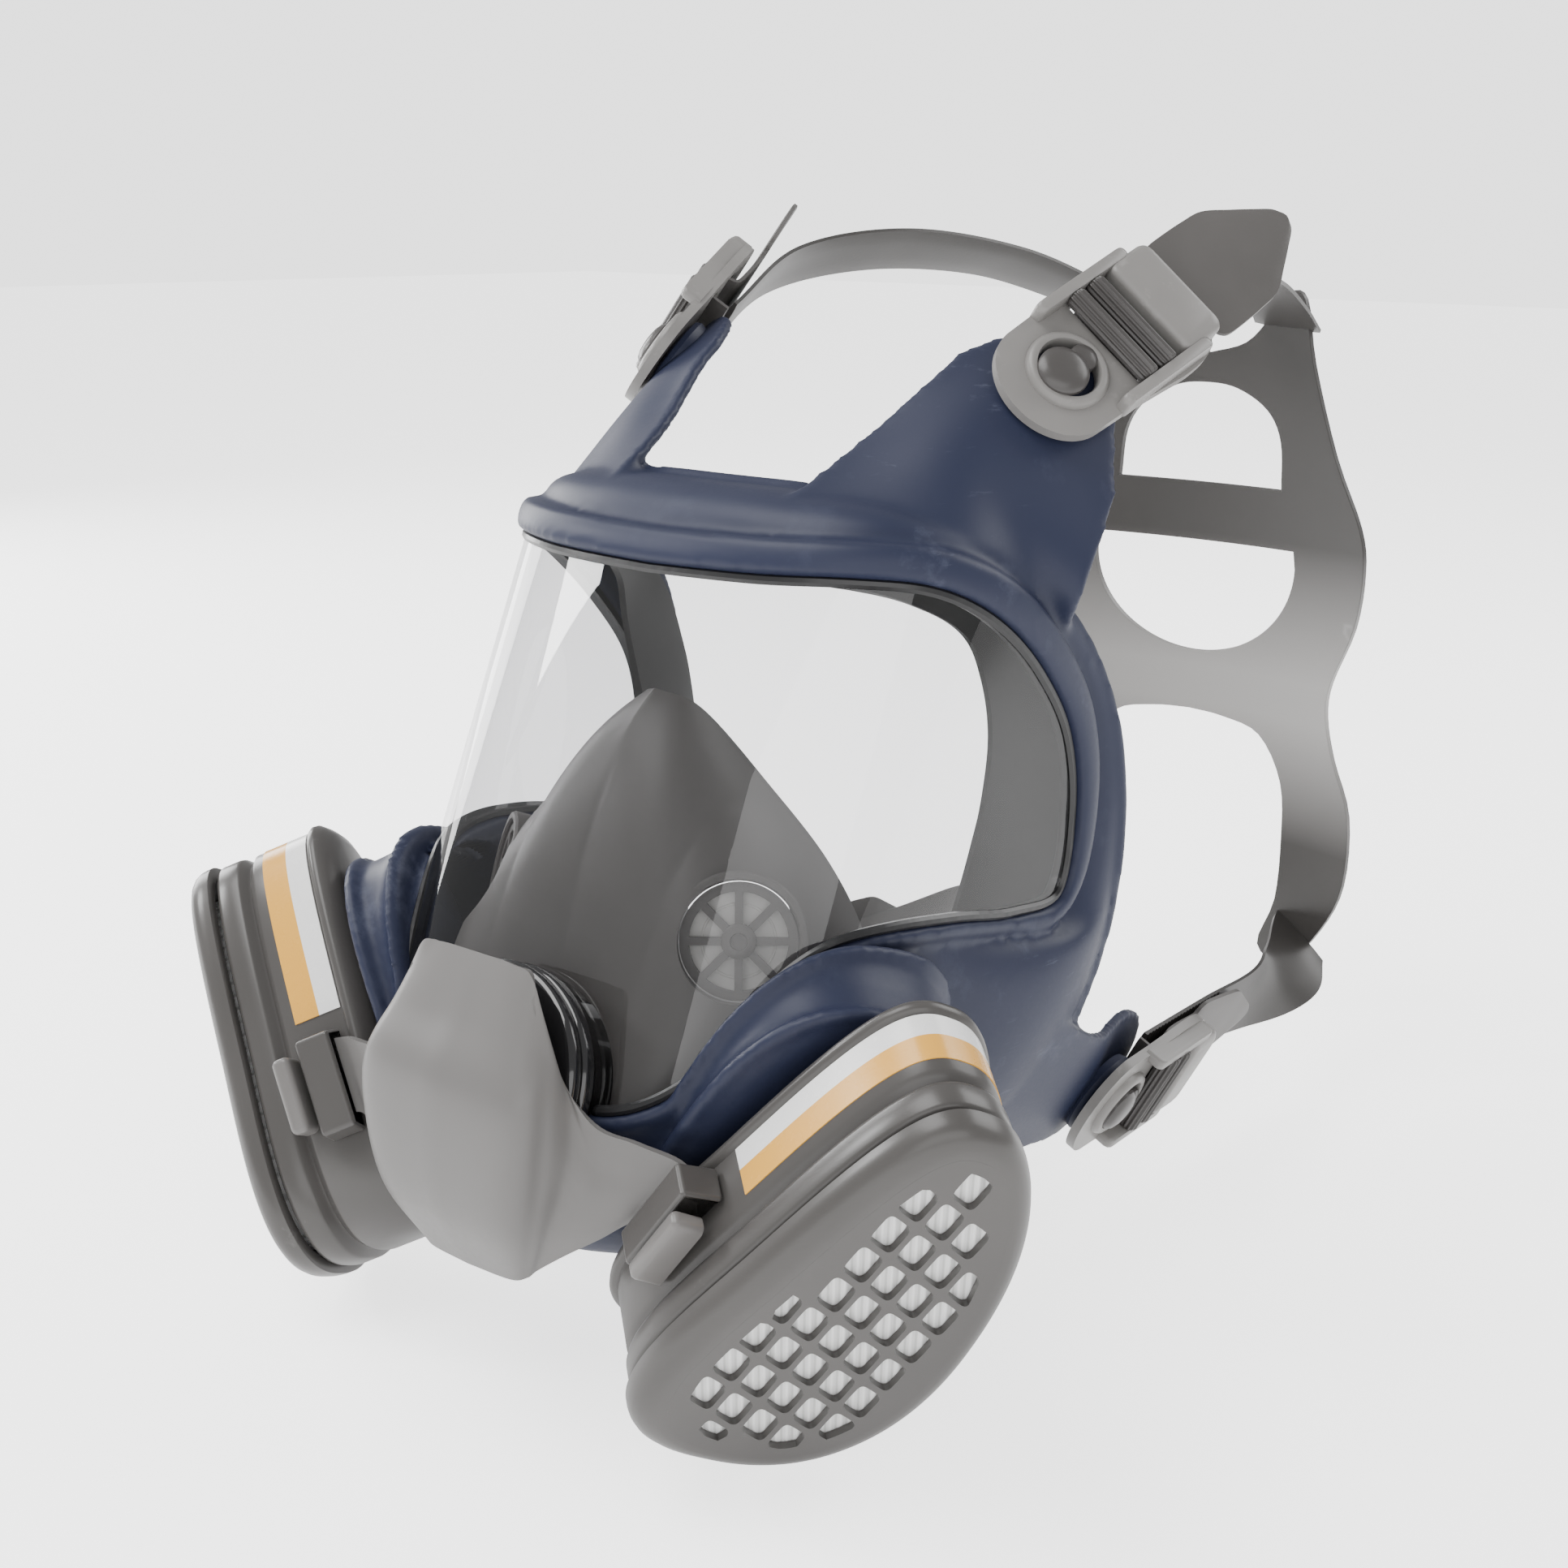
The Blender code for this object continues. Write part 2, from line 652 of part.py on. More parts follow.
def lens_body(inset, outside, underside):
    """A sheet that fills the visor's opening: its outline triangulated in the unrolled surface, then wrapped."""
    half = visor_edge(inset)
    left = half[-2:0:-1] * np.array([-1.0, 1.0])
    outline = np.concatenate([half, left])
    low, high = outline[:, 1].min(), outline[:, 1].max()
    inner_points = []
    for height in np.linspace(low + 12, high - 12, 5):
        for around in np.linspace(-150, 150, 25):
            inner_points.append((around, height))
    inner_points = np.array(inner_points)
    gap = np.linalg.norm(inner_points[:, None] - outline[None], axis=2).min(axis=1)
    inner_points = inner_points[inside(outline, inner_points) & (gap > 5)]
    points = [Vector((float(a), float(b))) for a, b in np.concatenate([outline, inner_points])]
    edges = [(i, (i + 1) % len(outline)) for i in range(len(outline))]
    made = delaunay_2d_cdt(points, edges, [], 1, 1e-5)
    flat = np.array([(v.x, v.y) for v in made[0]])
    count = len(flat)
    front = visor_point(flat[:, 0], flat[:, 1], outside)
    back = visor_point(flat[:, 0], flat[:, 1], underside)
    middles = flat[np.array(made[2])].mean(axis=1)
    faces = [tuple(t) for t, keep in zip(made[2], inside(outline, middles)) if keep]
    directed = {(t[i], t[(i + 1) % 3]) for t in faces for i in range(3)}
    walls = [(b, a, a + count, b + count) for a, b in directed if (b, a) not in directed]
    faces = faces + [tuple(v + count for v in reversed(t)) for t in faces] + walls
    return np.concatenate([front, back]), faces


def lens_and_gasket():
    lens = node("visor", lens_body(VISOR_EDGE_GAP, -0.1, -0.1 - VISOR_THICKNESS), clear_lens())
    boolean(lens, valve_bore(), "DIFFERENCE", "visor_bore_helper")
    rings = []
    for inset, out in ((0.35, 0.4), (1.35, 0.4), (1.35, -3.4), (0.35, -3.4)):
        edge = visor_edge(inset)
        ring = visor_point(edge[:, 0], edge[:, 1], out)
        ring[0, 0] = 0.0
        ring[-1, 0] = 0.0
        rings.append(full_loop(ring))
    gasket = node("visor_gasket", loft(rings, closed=True), dark_rubber())
    boolean(gasket, valve_bore(), "DIFFERENCE", "gasket_bore_helper")


def seal_surface(steps=(0.0, 0.33, 0.66, 1.0)):
    """The soft flap that lies on the face, from inside the rim to its free inner edge, right half."""
    start = sunk(shell_outer(), WALL + 0.8)[-1]
    edge = station_curve(4)
    bow = (start + edge) / 2 + np.array([0.0, 5.0, 0.0])
    rows = [(1 - t) ** 2 * start + 2 * t * (1 - t) * bow + t**2 * edge for t in steps]
    for row in rows:
        row[0, 0] = 0.0
        row[-1, 0] = 0.0
    return np.array(rows)


def face_seal():
    surface = mirrored_columns(seal_surface())[::-1]
    node("face_seal", thickened(surface, SEAL_THICKNESS, wrap=True), dark_rubber())


# ---------------------------------------------------------------- nose cup


CUP_STATIONS = [
    # rim on the face        bow
    ((0.0, -58.0, 37.0), (0.0, -80.0, 22.0)),
    ((10.0, -51.0, 32.0), (22.0, -80.0, 19.0)),
    ((22.0, -38.0, 11.0), (42.0, -84.0, 6.0)),
    ((33.0, -27.0, -10.0), (56.0, -88.0, -10.0)),
    ((41.0, -21.0, -31.0), (62.0, -92.0, -28.0)),
    ((42.0, -17.0, -53.0), (60.0, -90.0, -48.0)),
    ((36.0, -19.0, -73.0), (48.0, -80.0, -74.0)),
    ((20.0, -26.0, -87.0), (30.0, -80.0, -92.0)),
    ((0.0, -29.0, -92.0), (0.0, -82.0, -96.0)),
]
CUP_STEPS = 3
CUP_COLLAR = 27.3


def cup_surface(steps):
    """The nose cup's outside, from its round collar on the valve port to its rim on the face."""
    rim = spline([station[0] for station in CUP_STATIONS], CUP_STEPS)
    bow = spline([station[1] for station in CUP_STATIONS], CUP_STEPS)
    turn = np.linspace(0, pi, len(rim))
    collar = in_valve(np.stack([CUP_COLLAR * np.sin(turn), CUP_COLLAR * np.cos(turn), 0 * turn - 9.0], 1))
    rows = [(1 - t) ** 2 * collar + 2 * t * (1 - t) * bow + t**2 * rim for t in steps]
    for row in rows:
        row[0, 0] = 0.0
        row[-1, 0] = 0.0
    return np.array(rows)


def nose_cup():
    surface = mirrored_columns(cup_surface((0.0, 0.12, 0.27, 0.42, 0.58, 0.74, 0.88, 1.0)))
    cup = node("nose_cup", thickened(surface, CUP_WALL, wrap=True), grey_rubber())
    collar = turned([(CUP_VALVE_RADIUS + 2.6, -7.0), (CUP_VALVE_RADIUS + 2.6, 1.8)], in_cup_valve, 28, False)
    both_sides(cup, collar, "UNION", "cup_collar_helper")
    hole = turned([(CUP_VALVE_RADIUS + 0.3, -14), (CUP_VALVE_RADIUS + 0.3, 14)], in_cup_valve, 28, False)
    both_sides(cup, hole, "DIFFERENCE", "cup_valve_helper")


def axes_about(axis):
    """Two level-ish directions square to an axis."""
    axis = unit(axis)
    first = unit(np.cross((0, 0, 1), axis))
    return first, np.cross(axis, first), axis


in_cup_valve = placed(CUP_VALVE_CENTRE, *axes_about(CUP_VALVE_AXIS))


def spoked_seat(radius, hub, spokes, web, low, high, place):
    """A disc with a hub and open windows between its spokes."""
    holes = []
    rim = radius - 2.4
    step = 2 * pi / spokes
    for spoke in range(spokes):
        outer_half = step / 2 - web / 2 / rim
        inner_half = step / 2 - web / 2 / hub
        middle = (spoke + 0.5) * step
        outer_angle = middle + np.linspace(-outer_half, outer_half, 4)
        inner_angle = middle + np.linspace(inner_half, -inner_half, 2)
        arc = np.stack([rim * np.cos(outer_angle), rim * np.sin(outer_angle)], 1)
        back = np.stack([hub * np.cos(inner_angle), hub * np.sin(inner_angle)], 1)
        holes.append(np.concatenate([arc, back]))
    return plate(circle(radius, 32), holes, level(high), level(low), place)


def cup_valves():
    seat = spoked_seat(CUP_VALVE_RADIUS, 4.2, 8, 2.0, -1.6, 0.8, in_cup_valve)
    pair("nose_cup_valve_seat", seat, grey_rubber())
    origin = in_cup_valve((0, 0, -2.4))
    flap = turned([(13.0, -2.0), (13.0, -2.8)], in_cup_valve, 24, False)
    pair("nose_cup_valve_flap", flap, valve_rubber(), origin)


# ---------------------------------------------------------------- front valve and cover


def front_valve():
    front = VALVE_FRONT
    profile = [
        (VALVE_FLANGE - 1.6, front),
        (VALVE_FLANGE, front - 1.4),
        (VALVE_FLANGE, front - 3.0),
        (VALVE_FLANGE - 1.2, front - 3.8),
        (VALVE_FLANGE - 1.2, front - 4.8),
        (VALVE_FLANGE, front - 5.6),
        (VALVE_FLANGE, 0.7),
        (VALVE_BARREL, 0.7),
        (VALVE_BARREL, -5.0),
        (VALVE_SPIGOT, -5.0),
        (VALVE_SPIGOT, VALVE_REAR),
        (VALVE_BORE - 2.0, VALVE_REAR),
        (VALVE_BORE - 2.0, -7.4),
        (VALVE_BORE, -7.4),
        (VALVE_BORE, front),
    ]
    node("exhalation_port", turned(profile, in_valve, 32), black_gloss())
    seat = spoked_seat(VALVE_BORE - 0.3, 5.0, 6, 2.4, -7.0, -4.6, in_valve)
    node("exhalation_valve_seat", seat, black_gloss())
    flap = turned([(19.6, -4.2), (19.6, -3.4)], in_valve, 32, False)
    node("exhalation_valve_flap", flap, valve_rubber(), in_valve((0, 0, -3.8)))


COVER_COLUMNS = [
    [(0, -121.5, -17), (0, -129, -31), (0, -137, -45), (0, -138.5, -62), (0, -136, -80), (0, -127, -97)],
    [
        (12, -121.5, -17.5), (18, -128, -32), (22, -134, -46),
        (20, -136, -62), (17, -134, -80), (12, -126, -97),
    ],
    [
        (19, -122, -20), (26, -124.5, -35), (29, -129, -47),
        (27, -131, -63), (23, -130, -80), (16, -124.5, -96),
    ],
    [
        (27, -122, -38), (31, -122, -45), (33, -122.5, -53),
        (33, -124, -66), (28, -125, -80), (20, -122.5, -94),
    ],
    [
        (36, -119.5, -52), (37, -120, -57), (38, -120.5, -62),
        (38, -122, -70), (35, -122.5, -79), (28, -121.5, -88),
    ],
]
COVER_WALL = 1.9
ARM_TIP_TOP = -5.5
ARM_TIP_LOW = -26.5
ARM_TIP_SHORT = 39.2


def front_cover():
    """The moulded cover over the front valve, with an arm on each side that reaches into a filter hood."""
    columns = [spline(column, 1) for column in COVER_COLUMNS]
    tips = []
    for height in (-38.0, -30.0):
        along = np.linspace(ARM_TIP_TOP, ARM_TIP_LOW, 6)
        tips.append(in_filter(np.column_stack([along, np.full(6, ARM_TIP_SHORT), np.full(6, height)])))
    middle = 0.5 * (columns[-1] + tips[0])
    columns += [middle, *tips]
    half = np.array([spline([column[row] for column in columns], 2) for row in range(6)])
    left = half[:, :0:-1] * np.array([-1.0, 1.0, 1.0])
    surface = np.concatenate([left, half], axis=1)
    node("front_cover", thickened(surface[::-1], COVER_WALL), cover_plastic())


# ---------------------------------------------------------------- filters and ports


def filter_parts():
    rear = -FILTER_DEPTH
    profile = [
        (-2.6, -9.0),
        (-1.0, -9.6),
        (-1.0, -17.0),
        (-3.4, -18.6),
        (-1.6, -21.0),
        (-1.6, rear + 6),
        (-4.0, rear + 3),
        (-7.0, rear),
    ]
    rings = [kidney_ring(grow, height) for grow, height in profile]
    rings += [round_ring(NECK_RADIUS, rear - 0.1), round_ring(NECK_RADIUS, rear - NECK_LENGTH)]
    rings += [round_ring(NECK_BORE, rear - NECK_LENGTH), round_ring(NECK_BORE, rear + 3.0)]
    rings += [kidney_ring(-11.0, rear + 3.0), kidney_ring(-5.6, rear + 6.0), kidney_ring(-5.6, -9.0)]
    body = loft(rings, closed=True)
    origin = in_filter((0, 0, 0))
    pair("filter_body", body, filter_plastic(), origin)
    pair("filter_cap", filter_cap(), filter_plastic(), origin)
    media = loft([kidney_ring(-8.6, -3.4), kidney_ring(-8.6, -14.0)])
    pair("filter_media", media, filter_media(), origin)
    bed = loft([kidney_ring(-8.6, -15.0), kidney_ring(-8.6, rear + 9.0)])
    pair("carbon_bed", bed, carbon(), origin)
    pair("filter_label", filter_label(), label_film(), origin)
    pair("arm_hood", arm_hood(), filter_plastic(), origin)
    origin = in_filter((LATCH_ALONG, ARM_TIP_SHORT + 5, LATCH_HEIGHT))
    pair("latch_button", latch_button(), filter_plastic(), origin)


# The latch button's middle, along the filter and behind its front face.
LATCH_ALONG = -16.0
LATCH_HEIGHT = -22.0

GRID_PITCH = 9.4
GRID_HOLE = 7.4
GRID_MARGIN = 12.5


def filter_cap():
    """The front cap: a round-edged rim and a flat face with a slanting grid of holes."""
    count = OUTLINE_POINTS
    turns = np.arange(count) * 2 * pi / count
    face_edge = kidney(turns, -7.0)
    field = kidney(turns, -GRID_MARGIN)
    holes = []
    skew = np.array([[GRID_PITCH, 0.0], [0.30 * GRID_PITCH, 0.86 * GRID_PITCH]])
    corners = np.array([[-0.5, -0.5], [0.5, -0.5], [0.5, 0.5], [-0.5, 0.5]]) * GRID_HOLE / GRID_PITCH
    for row in range(-5, 6):
        for column in range(-9, 10):
            middle = np.array([column, row]) @ skew + np.array([2.0, 3.0])
            hole = middle + corners @ skew
            if inside(field, hole).all():
                holes.append(hole)
    points, faces = plate(face_edge, holes, level(0.0), level(-2.2), in_filter)
    profile = [(-7.0, 0.0), (-3.4, -0.8), (-1.0, -3.0), (0.0, -6.0), (0.0, -8.2)]
    profile += [(-3.0, -8.2), (-3.0, -5.0), (-7.0, -2.2)]
    rings = [kidney_ring(grow, height) for grow, height in profile]
    rim_points, rim_faces = loft(rings, closed=True)
    faces = drop_outer_wall(points, faces, rings[0])
    rim_faces = [face for face in rim_faces if not spans_ends(face, len(rings), count)]
    joined = np.concatenate([points, rim_points])
    return joined, faces + [tuple(v + len(points) for v in face) for face in rim_faces]


def spans_ends(face, ring_count, size):
    """Whether a rim face is the one between the last ring and the first."""
    rings = {v // size for v in face}
    return rings == {0, ring_count - 1}


def drop_outer_wall(points, faces, ring):
    """The plate's faces without the wall round its outside, where the rim joins it."""
    kept = []
    for face in faces:
        if len(face) == 4:
            gaps = [np.linalg.norm(ring - points[v], axis=1).min() for v in face]
            if sorted(gaps)[1] < 1e-3:
                continue
        kept.append(face)
    return kept


def filter_label():
    """A printed band round the upper side of the filter's wall."""
    turns = np.linspace(radians(-42), radians(112), 22)
    rows = []
    for grow, height in ((0.35, -24.0), (0.35, -31.0), (0.35, -37.8)):
        flat = kidney(turns, grow - 1.6)
        rows.append(in_filter(np.column_stack([flat, np.full(len(turns), height)])))
    outer = np.array(rows)
    normals = grid_normals(outer)
    outward = normals if (normals[1, 10] @ (outer[1, 10] - FILTER_CENTRE)) > 0 else -normals
    return sheet(outer + 0.3 * outward, outer)


def arm_hood():
    """The hood on the filter's wall that an arm of the cover slides into from behind."""
    roof = ARM_TIP_SHORT + 3.2
    outer = [(-1.5, 32.3), (-3.0, roof), (-29.0, roof), (-30.5, 35.8)]
    inner = [(-4.0, 32.7), (-4.6, roof - 1.8), (-27.4, roof - 1.8), (-28.0, 35.6)]
    section = outer + inner[::-1]
    low = np.array([(a, b, -36.0) for a, b in section])
    high = np.array([(a, b, -27.0) for a, b in section])
    return loft([in_filter(low), in_filter(high)])


def latch_button():
    """The finger bar beside the hood."""
    outline = rounded_box(10.0, 2.4, 1.6)
    base = ARM_TIP_SHORT - 3.0
    rings = []
    for grow, height in ((1.0, base), (1.0, base + 6.6), (0.86, base + 7.4)):
        along = outline[:, 0] * grow + LATCH_ALONG
        depth = outline[:, 1] * grow + LATCH_HEIGHT
        rings.append(in_filter(np.column_stack([along, np.full(len(outline), height), depth])))
    return loft(rings)


def ports():
    face = BOSS_FACE
    profile = [
        (PORT_RADIUS, face + 0.2),
        (PORT_RADIUS, face - 14.0),
        (PORT_BORE, face - 14.0),
        (PORT_BORE, face + 0.2),
    ]
    pair("filter_port", turned(profile, in_filter), filter_plastic())
    ring = [(PORT_RADIUS + 3.4, face + 0.4), (PORT_RADIUS + 3.4, face + 2.0)]
    ring += [(PORT_BORE + 0.6, face + 2.0), (PORT_BORE + 0.6, face + 0.4)]
    pair("port_gasket", turned(ring, in_filter), dark_rubber())
    seat = spoked_seat(PORT_BORE - 0.3, 3.0, 4, 2.0, face - 13.6, face - 11.6, in_filter)
    pair("port_valve_seat", seat, filter_plastic())
    flap = turned([(12.0, face - 14.0), (12.0, face - 14.8)], in_filter, 24, False)
    pair("port_valve_flap", flap, valve_rubber(), in_filter((0, 0, face - 14.4)))


# ---------------------------------------------------------------- buckles, studs and straps


def strap_axes(centre, along, out):
    """Axes of a buckle: along its strap, across it, and out of the tab."""
    along = unit(along)
    out = unit(np.asarray(out) - np.dot(out, along) * along)
    return placed(centre, along, np.cross(out, along), out)


in_upper = strap_axes((64.9, 21.6, 111.6), (0.20, 0.88, 0.43), (0.67, -0.44, 0.60))
in_lower = strap_axes((66.6, 58.0, -92.5), (-0.06, 0.998, 0.0), (0.88, 0.05, -0.47))


def fastenings():
    for name, place in (("upper", in_upper), ("lower", in_lower)):
        stud = [(STUD_STEM, 2.4), (STUD_STEM, 6.4), (STUD_HEAD, 6.8)]
        stud += [(STUD_HEAD, 8.2), (STUD_HEAD * 0.6, 9.8)]
        pair(f"{name}_stud", turned(stud, place, 20, False), grey_rubber())
        pair(f"{name}_buckle", buckle(place), buckle_plastic(), place((0, 0, 0)))
        pair(f"{name}_strap_tail", strap_tail(place), harness_rubber(), place((0, 0, 0)))


def buckle(place):
    """The buckle's plate: a keyhole for the stud and two slots with a bar between them."""
    nose = np.stack([-14 * np.sin(np.linspace(0, pi, 9)), 17 * np.cos(np.linspace(0, pi, 9))], 1)
    nose[:, 0] -= 2.0
    tail = np.array([(30.0, -19.0), (42.0, -17.0), (46.0, -11.0), (46.0, 11.0), (42.0, 17.0), (30.0, 19.0)])
    outline = np.concatenate([nose, tail])
    keyhole = circle(8.4, 16, (2.5, 0.0))
    slot = rounded_box(2.9, 13.6, 1.0, (19.4, 0.0), 2)
    rear_slot = rounded_box(2.9, 13.6, 1.0, (29.8, 0.0), 2)
    low = BUCKLE_GAP + 2.0
    return plate(outline, [keyhole, slot, rear_slot], level(low + BUCKLE_THICKNESS), level(low), place)


STRAP_PATH = [
    (19.0, -2.6),
    (19.0, 2.5),
    (19.6, 6.6),
    (22.0, 8.1),
    (27.0, 8.1),
    (29.6, 6.6),
    (30.4, 2.5),
    (32.0, 0.4),
    (38.0, 0.0),
    (47.0, 0.2),
    (56.0, 1.0),
    (72.0, 2.6),
    (87.0, 4.0),
]
STRAP_HALF_WIDTHS = (12, 12, 12, 12, 12, 12, 12, 12, 12, 12.5, 16, 15.5, 5)


def strap_tail(place):
    """The strap's end: round the buckle's bar and out to a pointed pull tab."""
    path = spline([(*point, half) for point, half in zip(STRAP_PATH, STRAP_HALF_WIDTHS)], 1)
    middle = path[:, :2]
    slope = np.gradient(middle, axis=0)
    slope /= np.linalg.norm(slope, axis=1, keepdims=True)
    normal = np.stack([-slope[:, 1], slope[:, 0]], 1)
    faces = []
    for side in (0.5, -0.5):
        line = middle + side * STRAP_THICKNESS * normal
        grid = []
        for (along, out), half in zip(line, path[:, 2]):
            grid.append([(along, across * half, out) for across in (-1.0, 0.0, 1.0)])
        grid = np.array(grid)
        grid[-1, 1, 0] += 5.0
        faces.append(place(grid))
    return sheet(*faces)


def harness():
    """The back plate with its two openings, and the four straps that leave it."""
    half = [(0, 108), (14, 112), (26, 124), (33, 138), (37, 113), (41, 98), (52, 77), (64, 55)]
    half += [(67, 41), (65, 22), (57, 2), (56, -10), (60, -24), (68, -42), (68, -66), (60, -84)]
    half += [(46, -100), (34, -96), (40, -78), (41, -56), (39, -36), (29, -21), (14, -17), (0, -16)]
    curve = np.array(half, float)
    outline = np.concatenate([curve, curve[-2:0:-1] * np.array([-1.0, 1.0])])
    upper = [(31.5, 64), (30, 80), (24, 90), (12, 96.5), (0, 98)]
    upper += [(-12, 96.5), (-24, 90), (-30, 80), (-31.5, 64)]
    arc = np.linspace(0, -pi, 13)
    lower = np.stack([39 * np.cos(arc), 38 + 33 * np.sin(arc)], 1)
    lower = np.concatenate([[(38, 44)], lower, [(-38, 44)]])
    place = placed((0, 0, 0), (1, 0, 0), (0, 0, 1), (0, -1, 0))

    def back(flat):
        return flat[:, 0] ** 2 / HARNESS_CURVE - HARNESS_Y

    def front(flat):
        return back(flat) + HARNESS_THICKNESS

    body = plate(outline, [np.array(upper), lower], front, back, place)
    made = node("head_harness", body, harness_rubber())
    upper_end = in_upper((24.0, 0.0, -3.2))
    upper_side = unit(in_upper((0, 1, 0)) - in_upper((0, 0, 0)))
    upper_line = [(29, 219, 118), (36, 196, 127), (47, 160, 138), (61, 118, 142), (73, 80, 136), upper_end]
    across = [(-1, 0, 0.1), (-1, 0.1, 0.15), (-0.9, 0.1, 0.35), (-0.8, 0, 0.55), (-0.75, -0.1, 0.65)]
    across.append(upper_side)
    widths = (12, 11.5, 11, 11, 11, 11)
    both_sides(made, strap(upper_line, across, widths), "UNION", "upper_strap_helper")
    lower_end = in_lower((24.0, 0.0, -3.2))
    lower_side = unit(in_lower((0, 1, 0)) - in_lower((0, 0, 0)))
    lower_line = [(52, 213, -88), (60, 190, -93), (60.5, 160, -94), (59.5, 125, -93), lower_end]
    across = [(-0.9, 0.3, 0.5), (-0.6, -0.3, 0.8), (0.2, 0, 1), (0.4, 0, 0.9), lower_side]
    widths = (13, 12, 11, 11, 11)
    both_sides(made, strap(lower_line, across, widths), "UNION", "lower_strap_helper")


def strap(line, across, widths):
    """A flat strap along a line, with the direction and half width of its section given at each point."""
    middle = spline(line, 3)
    sideways = spline([unit(direction) for direction in across], 3)
    half = spline([[width] for width in widths], 3)
    sideways /= np.linalg.norm(sideways, axis=1, keepdims=True)
    grid = np.stack([middle - half * sideways, middle, middle + half * sideways], 1)
    return sheet(*centred(grid, STRAP_THICKNESS))


def build():
    clear_scene()
    facepiece()
    lens_and_gasket()
    face_seal()
    nose_cup()
    cup_valves()
    front_valve()
    front_cover()
    filter_parts()
    ports()
    fastenings()
    harness()


build()
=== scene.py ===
"""Looks of the full-face respirator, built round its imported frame.

Lengths are millimetres in the formulas and become metres when a mesh is made. +X is the wearer's
left, -Y is the way the wearer looks, +Z is up. A side piece is worked out on the +X side and mirrored.
"""

from math import cos, pi, radians, sin, tan

import bmesh
import bpy
import numpy as np
from mathutils import Matrix, Vector
from mathutils.geometry import delaunay_2d_cdt


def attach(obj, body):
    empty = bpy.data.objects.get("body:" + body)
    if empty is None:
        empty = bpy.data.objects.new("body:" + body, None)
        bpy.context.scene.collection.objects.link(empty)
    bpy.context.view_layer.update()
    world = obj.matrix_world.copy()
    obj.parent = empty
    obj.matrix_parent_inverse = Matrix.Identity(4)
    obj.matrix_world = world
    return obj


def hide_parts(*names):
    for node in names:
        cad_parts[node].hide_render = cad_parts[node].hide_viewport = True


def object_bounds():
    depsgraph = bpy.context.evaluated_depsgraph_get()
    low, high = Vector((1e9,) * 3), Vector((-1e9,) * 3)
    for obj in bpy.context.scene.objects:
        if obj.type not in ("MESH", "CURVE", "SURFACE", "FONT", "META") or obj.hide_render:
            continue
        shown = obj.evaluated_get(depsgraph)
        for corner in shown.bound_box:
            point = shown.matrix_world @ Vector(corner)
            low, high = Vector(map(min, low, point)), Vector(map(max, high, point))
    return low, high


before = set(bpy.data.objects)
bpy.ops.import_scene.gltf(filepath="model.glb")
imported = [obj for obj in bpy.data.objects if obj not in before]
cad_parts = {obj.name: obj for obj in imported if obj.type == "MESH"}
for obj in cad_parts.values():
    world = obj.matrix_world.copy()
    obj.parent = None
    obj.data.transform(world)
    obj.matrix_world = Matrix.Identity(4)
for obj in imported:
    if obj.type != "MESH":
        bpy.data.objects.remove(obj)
cad_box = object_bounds()
scene = bpy.context.scene


# ---------------------------------------------------------------- studio
# A white room with one pale floor. A wide wall of light stands in front, where the corner of the
# visor mirrors it as a band, and a small turned panel shows at the visor's top as a wedge.

MM = 0.001
camera_data = bpy.data.cameras.new("camera")
camera_data.lens = 50.31
camera_data.sensor_width = 36.0
camera_data.clip_start = 0.01
camera = bpy.data.objects.new("camera", camera_data)
sight = Vector((-0.6142, 0.7455, -0.2588)).normalized()
level_right = Vector((0.7703, 0.6376, 0.0084))
level_right = (level_right - level_right.dot(sight) * sight).normalized()
axes = Matrix((level_right, level_right.cross(sight), -sight)).transposed().to_4x4()
camera.matrix_world = Matrix.Translation((0.3720, -0.4574, 0.1579)) @ axes
scene.collection.objects.link(camera)
scene.camera = camera


def panel_light(name, bearing, rise, distance, width, height, radiance, roll=0.0):
    """A rectangular light seen from the mask at a bearing and rise in degrees, turned to face it."""
    data = bpy.data.lights.new(name, "AREA")
    data.shape = "RECTANGLE"
    data.size = width
    data.size_y = height
    data.energy = radiance * width * height * pi
    light = bpy.data.objects.new(name, data)
    around, up = radians(bearing), radians(rise)
    place = distance * Vector((cos(up) * cos(around), cos(up) * sin(around), sin(up)))
    facing = (-place).to_track_quat("-Z", "Y").to_matrix().to_4x4()
    light.matrix_world = Matrix.Translation(place) @ facing @ Matrix.Rotation(radians(roll), 4, "Z")
    light.visible_camera = False
    scene.collection.objects.link(light)


panel_light("front_wall", -49, 18, 1.5, 2.0, 0.80, 2.0)
panel_light("wedge_panel", -149, 25, 1.3, 0.24, 0.24, 30.0, 45)
panel_light("top_panel", -125, 62, 1.6, 1.3, 0.8, 6.5)
panel_light("left_panel", 176, 16, 1.6, 0.6, 1.0, 11.0)
panel_light("back_panel", 60, 35, 1.6, 1.2, 0.8, 4.0)
world = bpy.data.worlds.new("studio")
world.use_nodes = True
room = world.node_tree.nodes["Background"]
room.inputs["Color"].default_value = (1.0, 1.0, 1.0, 1.0)
seen = world.node_tree.nodes.new("ShaderNodeLightPath")
brightness = world.node_tree.nodes.new("ShaderNodeMapRange")
brightness.inputs["To Min"].default_value = 0.5
brightness.inputs["To Max"].default_value = 2.4
world.node_tree.links.new(seen.outputs["Is Camera Ray"], brightness.inputs["Value"])
world.node_tree.links.new(brightness.outputs["Result"], room.inputs["Strength"])
scene.world = world


# ---------------------------------------------------------------- visor
# One sheet of clear polycarbonate, flat in front and wrapped round both sides, with a hard coat.
# Its edge drops into the facepiece's groove, and a round hole in its chin takes the front valve.

